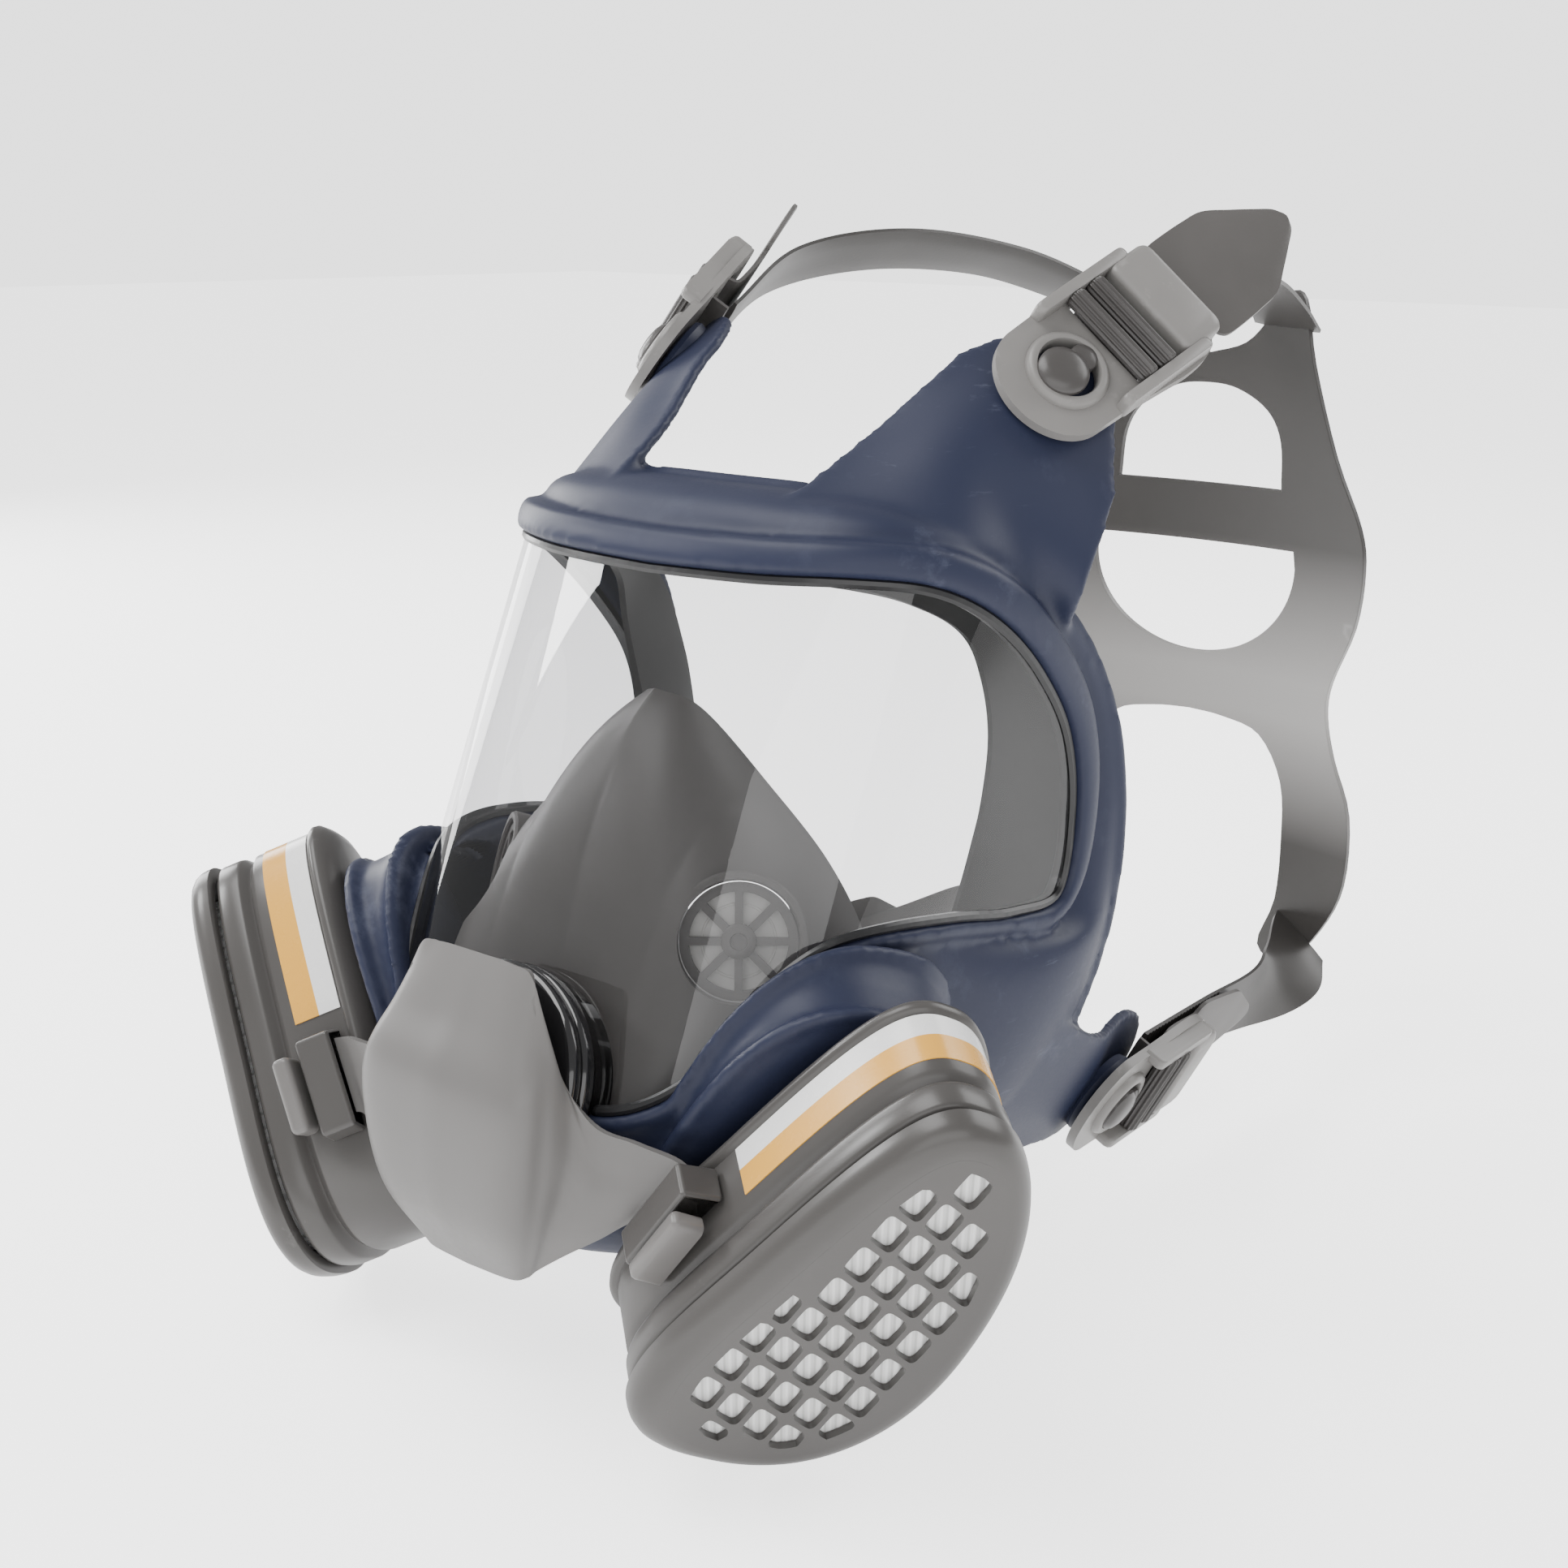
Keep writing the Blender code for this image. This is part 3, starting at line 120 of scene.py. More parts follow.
VISOR_HALF_WIDTH = 78.0
VISOR_DEPTH = 90.0
VISOR_SQUARENESS = 3.2
VISOR_TOP_Y = -59.0
VISOR_TOP_Z = 69.0
VISOR_LEAN = radians(24.0)
VISOR_THICKNESS = 2.4
VALVE_Z = -53.0
VALVE_HOLE = 27.4
FINE = 8

# Stations down the right side, from the top of the visor round to the chin: the visor's edge, the
# lip's width, the rim on the face, the point that the wall bows towards, and the seal's free edge.
STATIONS = [
    # edge             lip   rim                    bow                    seal edge
    ((0.0, 69.0), 8.0, (0.0, -29.0, 87.0), (0.0, -50.0, 90.0), (0.0, -38.0, 66.0)),
    ((30.0, 69.6), 8.0, (26.0, -27.0, 86.5), (27.0, -47.0, 90.0), (22.0, -36.0, 65.5)),
    ((58.0, 70.0), 8.0, (50.0, -19.0, 83.5), (56.0, -38.0, 88.0), (42.0, -30.0, 64.0)),
    ((79.0, 67.5), 8.0, (64.5, -7.0, 75.0), (71.5, -16.0, 80.0), (54.0, -19.0, 59.0)),
    ((101.0, 58.5), 8.0, (71.5, 10.0, 63.0), (77.5, 2.0, 68.5), (61.0, -8.0, 51.0)),
    ((125.0, 43.5), 8.0, (75.5, 26.0, 46.0), (79.5, 19.0, 51.0), (64.0, -3.0, 39.0)),
    ((147.0, 25.0), 8.0, (78.5, 36.0, 25.0), (81.0, 31.0, 29.5), (64.0, 1.0, 23.0)),
    ((161.0, 3.0), 8.0, (79.0, 41.0, 2.0), (81.5, 37.0, 4.0), (61.0, 3.0, 5.0)),
    ((165.0, -19.0), 7.0, (78.5, 41.0, -20.0), (82.5, 31.0, -26.0), (58.0, 3.0, -8.0)),
    ((143.0, -19.5), 4.0, (77.5, 38.0, -36.0), (89.0, 16.0, -38.0), (55.0, 2.0, -21.0)),
    ((117.0, -15.0), 4.0, (75.5, 33.0, -51.0), (91.0, -2.0, -59.0), (51.0, 1.0, -35.0)),
    ((94.0, -12.6), 4.0, (72.0, 28.0, -65.0), (84.0, -15.0, -80.0), (47.0, -1.0, -47.0)),
    ((77.0, -14.0), 4.0, (67.0, 21.0, -77.0), (76.0, -22.0, -95.0), (43.0, -3.0, -59.0)),
    ((66.0, -21.5), 4.0, (60.0, 15.0, -88.0), (66.0, -28.0, -106.0), (38.0, -7.0, -69.0)),
    ((59.0, -34.0), 4.0, (50.0, 7.0, -98.0), (54.0, -36.0, -113.0), (31.0, -12.0, -78.0)),
    ((51.0, -44.5), 4.0, (38.0, -2.0, -105.5), (46.0, -80.0, -116.0), (23.0, -16.0, -85.0)),
    ((38.0, -52.0), 4.0, (26.0, -8.0, -109.5), (35.0, -118.0, -112.0), (15.0, -19.0, -89.0)),
    ((19.0, -55.0), 4.0, (13.0, -11.0, -112.0), (20.0, -144.0, -107.0), (8.0, -20.0, -91.0)),
    ((0.0, -56.0), 4.0, (0.0, -12.0, -112.5), (0.0, -152.0, -106.0), (0.0, -21.0, -92.0)),
]


def spline(points, steps):
    """Catmull-Rom curve: a cubic between neighbours, its slope at each half the step across it."""
    points = np.asarray(points, float)
    padded = np.concatenate([2 * points[:1] - points[1:2], points, 2 * points[-1:] - points[-2:-1]])
    t = (np.arange(steps) / steps).reshape((1, steps) + (1,) * (points.ndim - 1))
    a, b, c, d = (padded[i : len(padded) - 3 + i][:, None] for i in range(4))
    square = 2 * a - 5 * b + 4 * c - d
    curve = 0.5 * (2 * b + (c - a) * t + square * t**2 + (3 * b - a - 3 * c + d) * t**3)
    return np.concatenate([curve.reshape((-1,) + points.shape[1:]), points[-1:]])


def station_curve(column):
    """One column of the stations as a smooth curve down the right side."""
    return spline([np.atleast_1d(station[column]) for station in STATIONS], FINE)


def plan_curve():
    """The visor's level section: a half superellipse, and its length measured round from the front."""
    quarter = np.linspace(0, pi / 2, 2000)
    x = VISOR_HALF_WIDTH * np.sin(quarter) ** (2 / VISOR_SQUARENESS)
    y = -VISOR_DEPTH * np.cos(quarter) ** (2 / VISOR_SQUARENESS)
    length = np.concatenate([[0], np.cumsum(np.hypot(np.diff(x), np.diff(y)))])
    return length, x, y


PLAN = plan_curve()
VALVE_Y = VISOR_TOP_Y - tan(VISOR_LEAN) * (VISOR_TOP_Z - VALVE_Z)


def visor_point(around, height, out=0.0):
    """A point on the visor: a distance round from the front, a height, and how far out of the surface."""
    length, plan_x, plan_y = PLAN
    around, height = np.asarray(around, float), np.asarray(height, float)
    reach = np.abs(around)
    straight = np.maximum(reach - length[-1], 0)
    ahead = np.interp(reach + 0.5, length, plan_x) - np.interp(reach - 0.5, length, plan_x)
    rearward = np.interp(reach + 0.5, length, plan_y) - np.interp(reach - 0.5, length, plan_y)
    ahead, rearward = np.where(straight > 0, 0.0, ahead), np.where(straight > 0, 1.0, rearward)
    scale = np.hypot(ahead, rearward)
    side, lean = np.sign(around), tan(VISOR_LEAN)
    normal = np.stack([side * rearward / scale, -ahead / scale, ahead / scale * lean], -1)
    normal /= np.linalg.norm(normal, axis=-1, keepdims=True)
    x = side * np.interp(reach, length, plan_x)
    y = VISOR_TOP_Y + VISOR_DEPTH - lean * (VISOR_TOP_Z - height)
    y = y + np.interp(reach, length, plan_y) + straight
    return np.stack([x, y, height + 0 * x], -1) + out * normal


def moved_edge(distance):
    """The visor's edge in its unrolled surface, moved outwards by a distance, right half."""
    edge = station_curve(0)
    slope = np.gradient(edge, axis=0)
    slope[0], slope[-1] = (1.0, 0.0), (-1.0, 0.0)
    slope /= np.linalg.norm(slope, axis=1, keepdims=True)
    outward = np.stack([-slope[:, 1], slope[:, 0]], 1)
    moved = edge + np.broadcast_to(np.asarray(distance, float), len(edge))[:, None] * outward
    moved[[0, -1], 0] = 0.0
    return moved


def full_loop(half):
    """A closed loop from its right half, whose ends lie on the middle plane."""
    half = half.copy()
    half[[0, -1], 0] = 0.0
    left = half[-2:0:-1] * np.where(np.arange(half.shape[1]) == 0, -1.0, 1.0)
    return np.concatenate([half, left])


def grid_faces(rows, columns, wrap_rows, wrap_columns):
    """Quads between neighbours of a grid whose points are numbered row by row."""
    row = np.arange(rows if wrap_rows else rows - 1)[:, None]
    column = np.arange(columns if wrap_columns else columns - 1)[None]
    below, beside = (row + 1) % rows, (column + 1) % columns
    here, under = row * columns, below * columns
    quads = [here + column, here + beside, under + beside, under + column]
    return np.stack(np.broadcast_arrays(*quads), -1).reshape(-1, 4)


def sheet(outer, inner, wrap=False):
    """The closed wall between two matching grids of points. With wrap, its columns close on themselves."""
    rows, columns = outer.shape[:2]
    points = np.concatenate([outer, inner[::-1]]).reshape(-1, 3)
    faces = grid_faces(2 * rows, columns, True, wrap)
    if wrap:
        return points, faces.tolist()
    row = np.arange(rows - 1)
    behind = 2 * rows - 1 - row
    corners = np.stack([row * columns, (row + 1) * columns, (behind - 1) * columns, behind * columns], 1)
    return points, np.concatenate([faces, corners, corners + columns - 1]).tolist()


def make(name, *bodies, sharp=35):
    """One mesh at the origin from millimetre bodies; edges sharper than the angle in degrees stay crisp."""
    mesh = bpy.data.meshes.new(name)
    points = np.concatenate([body[0] for body in bodies])
    starts = np.cumsum([0] + [len(body[0]) for body in bodies])
    faces = [[i + int(start) for i in face] for start, body in zip(starts, bodies) for face in body[1]]
    mesh.from_pydata((points * MM).tolist(), [], faces)
    work = bmesh.new()
    work.from_mesh(mesh)
    bmesh.ops.remove_doubles(work, verts=work.verts, dist=2e-6)
    bmesh.ops.dissolve_degenerate(work, edges=work.edges, dist=1e-7)
    bmesh.ops.recalc_face_normals(work, faces=work.faces)
    work.to_mesh(mesh)
    work.free()
    mesh.shade_smooth()
    mesh.set_sharp_from_angle(angle=radians(sharp))
    made = bpy.data.objects.new(name, mesh)
    scene.collection.objects.link(made)
    return made


def settle(piece):
    """Applies a piece's modifiers to its mesh."""
    bpy.context.view_layer.update()
    shaped = piece.evaluated_get(bpy.context.evaluated_depsgraph_get())
    mesh = bpy.data.meshes.new_from_object(shaped)
    piece.modifiers.clear()
    piece.data = mesh


def cut(piece, *tools):
    """Takes bodies away from a piece."""
    for tool in tools:
        knife = make("knife", tool)
        modifier = piece.modifiers.new("cut", "BOOLEAN")
        modifier.solver = "EXACT"
        modifier.object = knife
        settle(piece)
        bpy.data.objects.remove(knife)


def loft(rings, closed=False):
    """A body through matching rings: capped at both ends, or closed on itself round a hollow."""
    rings = np.asarray(rings)
    count, size = rings.shape[:2]
    faces = grid_faces(count, size, closed, True).tolist()
    if not closed:
        faces += [list(range(size)), list(range((count - 1) * size, count * size))]
    return rings.reshape(-1, 3), faces


def placed(centre, *directions):
    """A function that takes points from a piece's own axes to the respirator's."""
    directions = np.array(directions)
    return lambda points: np.asarray(centre) + np.asarray(points, float) @ directions


def turned(profile, place, closed=False, sides=96):
    """A turned body: the profile's (radius, height) points carried round the place's third axis."""
    angle = np.arange(sides) * 2 * pi / sides
    profile = np.asarray(profile, float)
    radius, height = profile[:, :1], profile[:, 1:]
    flat = np.stack([radius * np.cos(angle), radius * np.sin(angle), height + 0 * angle], -1)
    return loft(place(flat), closed)


in_valve = placed(
    (0, VALVE_Y, VALVE_Z),
    (1, 0, 0),
    (0, sin(VISOR_LEAN), cos(VISOR_LEAN)),
    (0, -cos(VISOR_LEAN), sin(VISOR_LEAN)),
)


def visor_grid(out):
    """The visor's face at a depth: straight lines in the unrolled surface from its middle to its edge."""
    edge = full_loop(moved_edge(-1.2))
    middle = np.array([0.0, 18.0])
    share = np.linspace(0, 1, 44)[:, None, None]
    flat = middle + share * (edge - middle)
    flat[0] = middle
    return visor_point(flat[..., 0], flat[..., 1], out)


class Value:
    """A shader socket whose sums, differences and products are Math nodes."""

    def __init__(self, finish, socket):
        self.finish = finish
        self.socket = socket

    def maths(self, operation, first, second):
        return self.finish.add("ShaderNodeMath", {"operation": operation}, {0: first, 1: second})

    def __add__(self, other):
        return self.maths("ADD", self, other)

    def __radd__(self, other):
        return self.maths("ADD", other, self)

    def __sub__(self, other):
        return self.maths("SUBTRACT", self, other)

    def __rsub__(self, other):
        return self.maths("SUBTRACT", other, self)

    def __mul__(self, other):
        return self.maths("MULTIPLY", self, other)

    def __rmul__(self, other):
        return self.maths("MULTIPLY", other, self)

    def __gt__(self, other):
        return self.maths("GREATER_THAN", self, other)


class Finish:
    """A material: its Principled shader, and the nodes that vary it over the surface."""

    def __init__(self, name, colour, roughness, **constants):
        self.material = bpy.data.materials.new(name)
        self.material.use_nodes = True
        self.tree = self.material.node_tree
        self.shader = self.tree.nodes["Principled BSDF"]
        self.shader.inputs["Base Color"].default_value = (*colour, 1.0)
        self.shader.inputs["Roughness"].default_value = roughness
        for key, value in constants.items():
            self.shader.inputs[key.replace("_", " ").title().replace("Ior", "IOR")].default_value = value
        self.place = self.add("ShaderNodeTexCoord", {}, {}, "Object")

    def add(self, kind, settings, inputs, output=0):
        """A node of a kind, with its settings made first and then its inputs' values or links."""
        made = self.tree.nodes.new(kind)
        for key, value in settings.items():
            if key == "stops":
                while len(made.color_ramp.elements) < len(value):
                    made.color_ramp.elements.new(1.0)
                for element, (position, level) in zip(made.color_ramp.elements, value):
                    element.position = position
                    element.color = (level, level, level, 1.0)
            else:
                setattr(made, key, value)
        for key, value in inputs.items():
            if isinstance(value, Value):
                self.tree.links.new(value.socket, made.inputs[key])
            else:
                made.inputs[key].default_value = value
        return Value(self, made.outputs[output])

    def noise(self, scale, detail=3.0, rough=0.55, stretch=(1.0, 1.0, 1.0)):
        """Cloudy noise from 0 to 1, with that many features to the metre."""
        place = self.add("ShaderNodeMapping", {}, {"Vector": self.place, "Scale": stretch})
        values = {"Vector": place, "Scale": scale, "Detail": detail, "Roughness": rough}
        return self.add("ShaderNodeTexNoise", {}, values)

    def steps(self, value, *stops):
        """A value through a ramp of (position, level) stops."""
        return self.add("ShaderNodeValToRGB", {"stops": stops}, {0: value})

    def along(self, direction):
        """Distance along a direction, in metres."""
        values = {0: self.place, 1: tuple(float(v) for v in direction)}
        return self.add("ShaderNodeVectorMath", {"operation": "DOT_PRODUCT"}, values, "Value")

    def blend(self, mask, low, high):
        """A colour that goes from low to high as the mask goes from 0 to 1."""
        low = low if isinstance(low, Value) else (*low, 1.0)
        high = high if isinstance(high, Value) else (*high, 1.0)
        return self.add("ShaderNodeMix", {"data_type": "RGBA"}, {0: mask, 6: low, 7: high}, 2)

    def feed(self, name, value):
        self.tree.links.new(value.socket, self.shader.inputs[name])

    def mottle(self, cloud, low, high, rough, spread):
        """A colour and a roughness that both drift with one cloud of noise."""
        self.feed("Base Color", self.blend(cloud, low, high))
        self.feed("Roughness", rough + cloud * spread)

    def bump(self, height, strength, depth):
        """Surface relief of a depth in millimetres."""
        values = {"Height": height, "Strength": strength, "Distance": depth * MM}
        self.feed("Normal", self.add("ShaderNodeBump", {}, values))


def clear_finish():
    """Clear plastic: light passes straight through, and its face mirrors more towards grazing."""
    finish = Finish("clear_visor", (0.9, 0.9, 0.9), 0.05)
    smears = finish.steps(finish.noise(38, 4), (0.3, 0.012), (0.8, 0.045))
    gloss = finish.add("ShaderNodeBsdfGlossy", {}, {"Color": (1, 1, 1, 1), "Roughness": smears}, "BSDF")
    clear = finish.add("ShaderNodeBsdfTransparent", {}, {"Color": (0.83, 0.83, 0.835, 1)}, "BSDF")
    facing = finish.add("ShaderNodeLayerWeight", {}, {"Blend": 0.32}, "Fresnel")
    rear = finish.add("ShaderNodeNewGeometry", {}, {}, "Backfacing")
    share = (facing * 0.6 + 0.03) * (1 - rear)
    mixed = finish.add("ShaderNodeMixShader", {}, {0: share, 1: clear, 2: gloss}, "Shader")
    finish.tree.links.new(mixed.socket, finish.tree.nodes["Material Output"].inputs["Surface"])
    return finish


def wear(piece, body, slot, finish, *nodes):
    """Gives a piece its finish, the body that it rides on, and the nodes that it stands for."""
    piece.data.materials.clear()
    piece.data.materials.append(finish.material)
    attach(piece, body)
    if nodes:
        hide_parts(*nodes)


valve_hole = turned([(VALVE_HOLE, -26), (VALVE_HOLE, 22)], in_valve)
visor = make("clear_visor", sheet(visor_grid(-0.1), visor_grid(-0.1 - VISOR_THICKNESS), True))
cut(visor, valve_hole)
visor.data.shade_smooth()
visor.data.set_sharp_from_angle(angle=radians(35))
wear(visor, "facepiece", "clear_lens", clear_finish(), "visor")


# ---------------------------------------------------------------- visor gasket
# A thin black extruded rubber strip pressed into the groove between the visor's edge and the lip.


def edge_ring(inset, out):
    """A loop along the visor's edge, inside it by an inset and out of its surface."""
    flat = moved_edge(-inset)
    return full_loop(visor_point(flat[:, 0], flat[:, 1], out))


VALVE_RELIEF = 29.9
gasket_rubber = Finish("gasket_rubber", (0.016, 0.016, 0.017), 0.3)
gasket_rubber.bump(gasket_rubber.noise(160, 2), 0.5, 0.4)
gasket_section = ((-0.2, 0.3), (0.5, 1.0), (1.5, 0.9), (2.2, 0.15), (1.5, -3.4), (0.1, -3.4))
gasket = make("visor_gasket_strip", loft([edge_ring(*corner) for corner in gasket_section], True))
cut(gasket, turned([(VALVE_RELIEF, -26), (VALVE_RELIEF, 22)], in_valve))
wear(gasket, "facepiece", "dark_rubber", gasket_rubber, "visor_gasket")


# ---------------------------------------------------------------- facepiece shell
# One moulding of soft dark blue rubber: a thick lip round the visor, a bowed wall back to the face,
# a boss under each filter and four tabs for the buckles. Its fillets are melted in, and it is scuffed.


def unit(vector):
    """A direction of length one."""
    vector = np.asarray(vector, float)
    return vector / np.linalg.norm(vector)


WALL = 3.0
TAB_THICKNESS = 3.2
MELT_SIZE = 1.15
PORT_BORE = 17.2
LIP_RISE = 3.2
LIP_DEPTH = 5.2
BOSS_FACE = -47.4
BOSS_MIDDLE = (2.0, 6.0)
BOSS_HALF = (41.0, 30.0)
BOSS_CORNER = 0.8
FILTER_CENTRE = np.array([107.0, -104.5, -84.0])
FILTER_AXIS = unit((0.716, -0.571, -0.403))
FILTER_SHORT = unit(np.cross(FILTER_AXIS, (0.568, 0.139, 0.811)))
FILTER_LONG = np.cross(FILTER_SHORT, FILTER_AXIS)
in_filter = placed(FILTER_CENTRE, FILTER_LONG, FILTER_SHORT, FILTER_AXIS)


def mirrored(body):
    """The same body on the other side of the middle plane."""
    points, faces = body
    return points * np.array([-1.0, 1.0, 1.0]), faces


def both(body):
    """A body and its mirror image, as two bodies."""
    return body, mirrored(body)


def grid_normals(surface, wrap=False):
    """Unit normals of a grid of points: the cross product of its slopes along rows and columns."""
    down = np.gradient(surface, axis=0)
    if wrap:
        sideways = (np.roll(surface, -1, axis=1) - np.roll(surface, 1, axis=1)) / 2
    else:
        sideways = np.gradient(surface, axis=1)
    normals = np.cross(sideways, down)
    return normals / np.maximum(np.linalg.norm(normals, axis=2, keepdims=True), 1e-9)


def surface_edge(distance, out):
    """The visor's edge moved outwards in its surface by a distance, and out of it, right half."""
    flat = moved_edge(distance)
    return visor_point(flat[:, 0], flat[:, 1], np.broadcast_to(out, (len(flat), 1)))


def quadratic(start, bow, end, shares):
    """Rows of a Bezier sheet: each share t weighs start, bow and end by (1-t)^2, 2t(1-t) and t^2."""
    return [(1 - t) ** 2 * start + 2 * t * (1 - t) * bow + t**2 * end for t in shares]


def whole_rows(rows):
    """Both halves of a grid given by its right half."""
    return np.array([full_loop(row) for row in rows])


def shell_outside():
    """The shell's outside, from the lip to the rim: a flat lip, its rolled shoulder, a heel, and a bow."""
    width = station_curve(1)[:, 0]
    rise = np.interp(width, [4.0, 8.0], [1.0, LIP_RISE])[:, None]
    heel = surface_edge(width + 1.2, -2.0)
    rows = [surface_edge(0.0, rise - 0.8), surface_edge(1.0, rise), surface_edge(width * 0.5, rise + 0.3)]
    rows += [surface_edge(width - 1.2, rise), surface_edge(width, rise - 1.0), heel]
    return rows + quadratic(heel, station_curve(3), station_curve(2), np.linspace(0, 1, 17)[1:])


def shell_inside(outside):
    """The shell's inside: the outside sunk by the wall, with a ledge under the visor's edge."""
    whole = whole_rows(outside)
    half = (whole - WALL * grid_normals(whole, True))[:, : len(outside[0])]
    rows = list(half)
    ledge = ((0.0, 0.0), (0.6, 0.0), (1.6, 0.2), (2.6, 0.5), (3.4, 1.0), (4.0, 1.6))
    for i, (distance, drop) in enumerate(ledge):
        rows[i] = surface_edge(distance, -LIP_DEPTH - drop)
    return rows


def boss_ring(grow, height, slant=0.0, lift=0.0, count=96):
    """The boss's outline: a superellipse that may follow the slope of the wall under it."""
    angle = np.arange(count) * 2 * pi / count
    c, s = np.cos(angle), np.sin(angle)
    along = BOSS_MIDDLE[0] + (BOSS_HALF[0] + grow) * np.sign(c) * np.abs(c) ** BOSS_CORNER
    across = BOSS_MIDDLE[1] + (BOSS_HALF[1] + grow) * np.sign(s) * np.abs(s) ** BOSS_CORNER
    wall_depth = 19.6 + 0.1375 * along - 0.244 * across
    return in_filter(np.stack([along, across, height - slant * wall_depth + lift], 1))


def tube(path, radius, closed=True, sides=12):
    """A round bead: circles square to a path."""
    path = np.asarray(path, float)
    if closed:
        ahead = np.roll(path, -1, axis=0) - np.roll(path, 1, axis=0)
    else:
        ahead = np.gradient(path, axis=0)
    ahead /= np.linalg.norm(ahead, axis=1, keepdims=True)
    first = np.cross(ahead, (0.31, 0.22, 0.92))
    first /= np.linalg.norm(first, axis=1, keepdims=True)
    second = np.cross(ahead, first)
    angle = (np.arange(sides) * 2 * pi / sides)[None, :, None]
    grid = path[:, None] + radius * (np.cos(angle) * first[:, None] + np.sin(angle) * second[:, None])
    return loft(grid, closed)


def centred(grid, thickness):
    """A sheet whose middle surface is the grid."""
    normals = grid_normals(grid)
    return sheet(grid + thickness / 2 * normals, grid - thickness / 2 * normals)


def tab_body(lines):
    """A flap through three lines; each row is shortened by the fourth power of its distance
    from the middle, which rounds the flap's end."""
    grid = spline(np.array([spline(line, 12) for line in lines]), 12)
    rows, columns = grid.shape[:2]
    off_middle = np.abs(np.linspace(-1, 1, rows))[:, None]
    share = np.linspace(0, columns - 1, columns)[None] * (1 - 0.22 * off_middle**4)
    before = np.minimum(share.astype(int), columns - 2)
    part = (share - before)[..., None]
    row = np.arange(rows)[:, None]
    return centred((1 - part) * grid[row, before] + part * grid[row, before + 1], TAB_THICKNESS)


outside = shell_outside()
inside_rows = shell_inside(outside)
wall_low = (np.array(outside) + np.array(inside_rows)) / 2
front_root, middle_root, rear_root = (wall_low[10, FINE * i] for i in (1, 3, 5))
upper_tab = tab_body([
    [front_root, (33, -17, 98), (39.5, 6, 114), (42.5, 29.6, 127.7)],
    [middle_root, (60.5, -8, 94.5), (62.8, 13.5, 107.8), (67.5, 38, 118.5)],
    [rear_root, (83.5, 10, 62), (82.5, 22, 80), (80, 34, 96)],
])
front_root, middle_root, rear_root = (wall_low[15, int(FINE * i)] for i in (10, 12, 13.5))
lower_tab = tab_body([
    [front_root, (77, 38, -66), (69, 62, -70), (63.5, 88, -71)],
    [middle_root, (68, 40, -87), (62.8, 62, -89.3), (59.4, 86, -89)],
    [rear_root, (58, 34, -103), (54.5, 60, -106), (52, 80, -105)],
])
mound = [boss_ring(-4, BOSS_FACE), boss_ring(-1.6, BOSS_FACE - 0.5), boss_ring(0, BOSS_FACE - 2.6)]
mound += [boss_ring(0.6, BOSS_FACE - 1.0, 0.62), boss_ring(2.2, BOSS_FACE - 1.0, 0.84)]
mound += [boss_ring(5.2, BOSS_FACE + 0.2, 0.98), boss_ring(3.0, BOSS_FACE - 2.5, 1.0)]
bead = tube(boss_ring(1.0, BOSS_FACE - 2.6), 2.0)
lug = tube(np.linspace((68, -36, -104), (93, -43, -116), 6), 5.5, closed=False)
rim_bead = tube(full_loop(station_curve(2)), 2.1)
shell_wall = sheet(whole_rows(outside), whole_rows(inside_rows), True)
shell = make(
    "facepiece_rubber", shell_wall, *both(loft(mound)), *both(bead), *both(lug),
    rim_bead, *both(upper_tab), *both(lower_tab),
)
fuse = shell.modifiers.new("fuse", "REMESH")
fuse.mode = "VOXEL"
fuse.voxel_size = MELT_SIZE * MM
settle(shell)
hollow = loft([boss_ring(-4.6, BOSS_FACE - 4.6), boss_ring(-4.6, BOSS_FACE - 13.0, 1.0)])
port_bore = turned([(PORT_BORE, BOSS_FACE + 8), (PORT_BORE, BOSS_FACE - 9)], in_filter)
front_bore = turned([(27.6, -26), (27.6, 0.2), (VALVE_RELIEF, 0.2), (VALVE_RELIEF, 22)], in_valve)
cut(shell, *both(hollow), *both(port_bore), front_bore)
soften = shell.modifiers.new("soften", "SMOOTH")
soften.factor = 0.5
soften.iterations = 9
settle(shell)
shell.data.shade_smooth()
blue_rubber = Finish("blue_rubber", (0.020, 0.0245, 0.052), 0.43, specular_ior_level=0.30)
grain = blue_rubber.noise(900, 4, 0.6)
scuff = blue_rubber.steps(blue_rubber.noise(52, 6, 0.68), (0.56, 0.0), (0.74, 1.0))
scratch = blue_rubber.steps(blue_rubber.noise(60, 8, 0.75, (1.0, 1.0, 6.0)), (0.60, 0.0), (0.70, 1.0))
patch = blue_rubber.steps(blue_rubber.noise(11, 2), (0.48, 0.0), (0.66, 1.0))
worn = (scuff * 0.30 + scratch * 0.30) * patch + scuff * 0.05
blue_rubber.feed("Base Color", blue_rubber.blend(worn, (0.020, 0.0245, 0.052), (0.20, 0.22, 0.30)))
blue_rubber.feed("Roughness", 0.40 + grain * 0.10 + worn * 0.25)
blue_rubber.bump(grain * 0.35 + worn, 0.35, 0.12)
wear(shell, "facepiece", "blue_rubber", blue_rubber, "facepiece_shell")


# ---------------------------------------------------------------- face seal
# A soft dark rubber flap turned in from the shell's rim, which lies on the wearer's face.

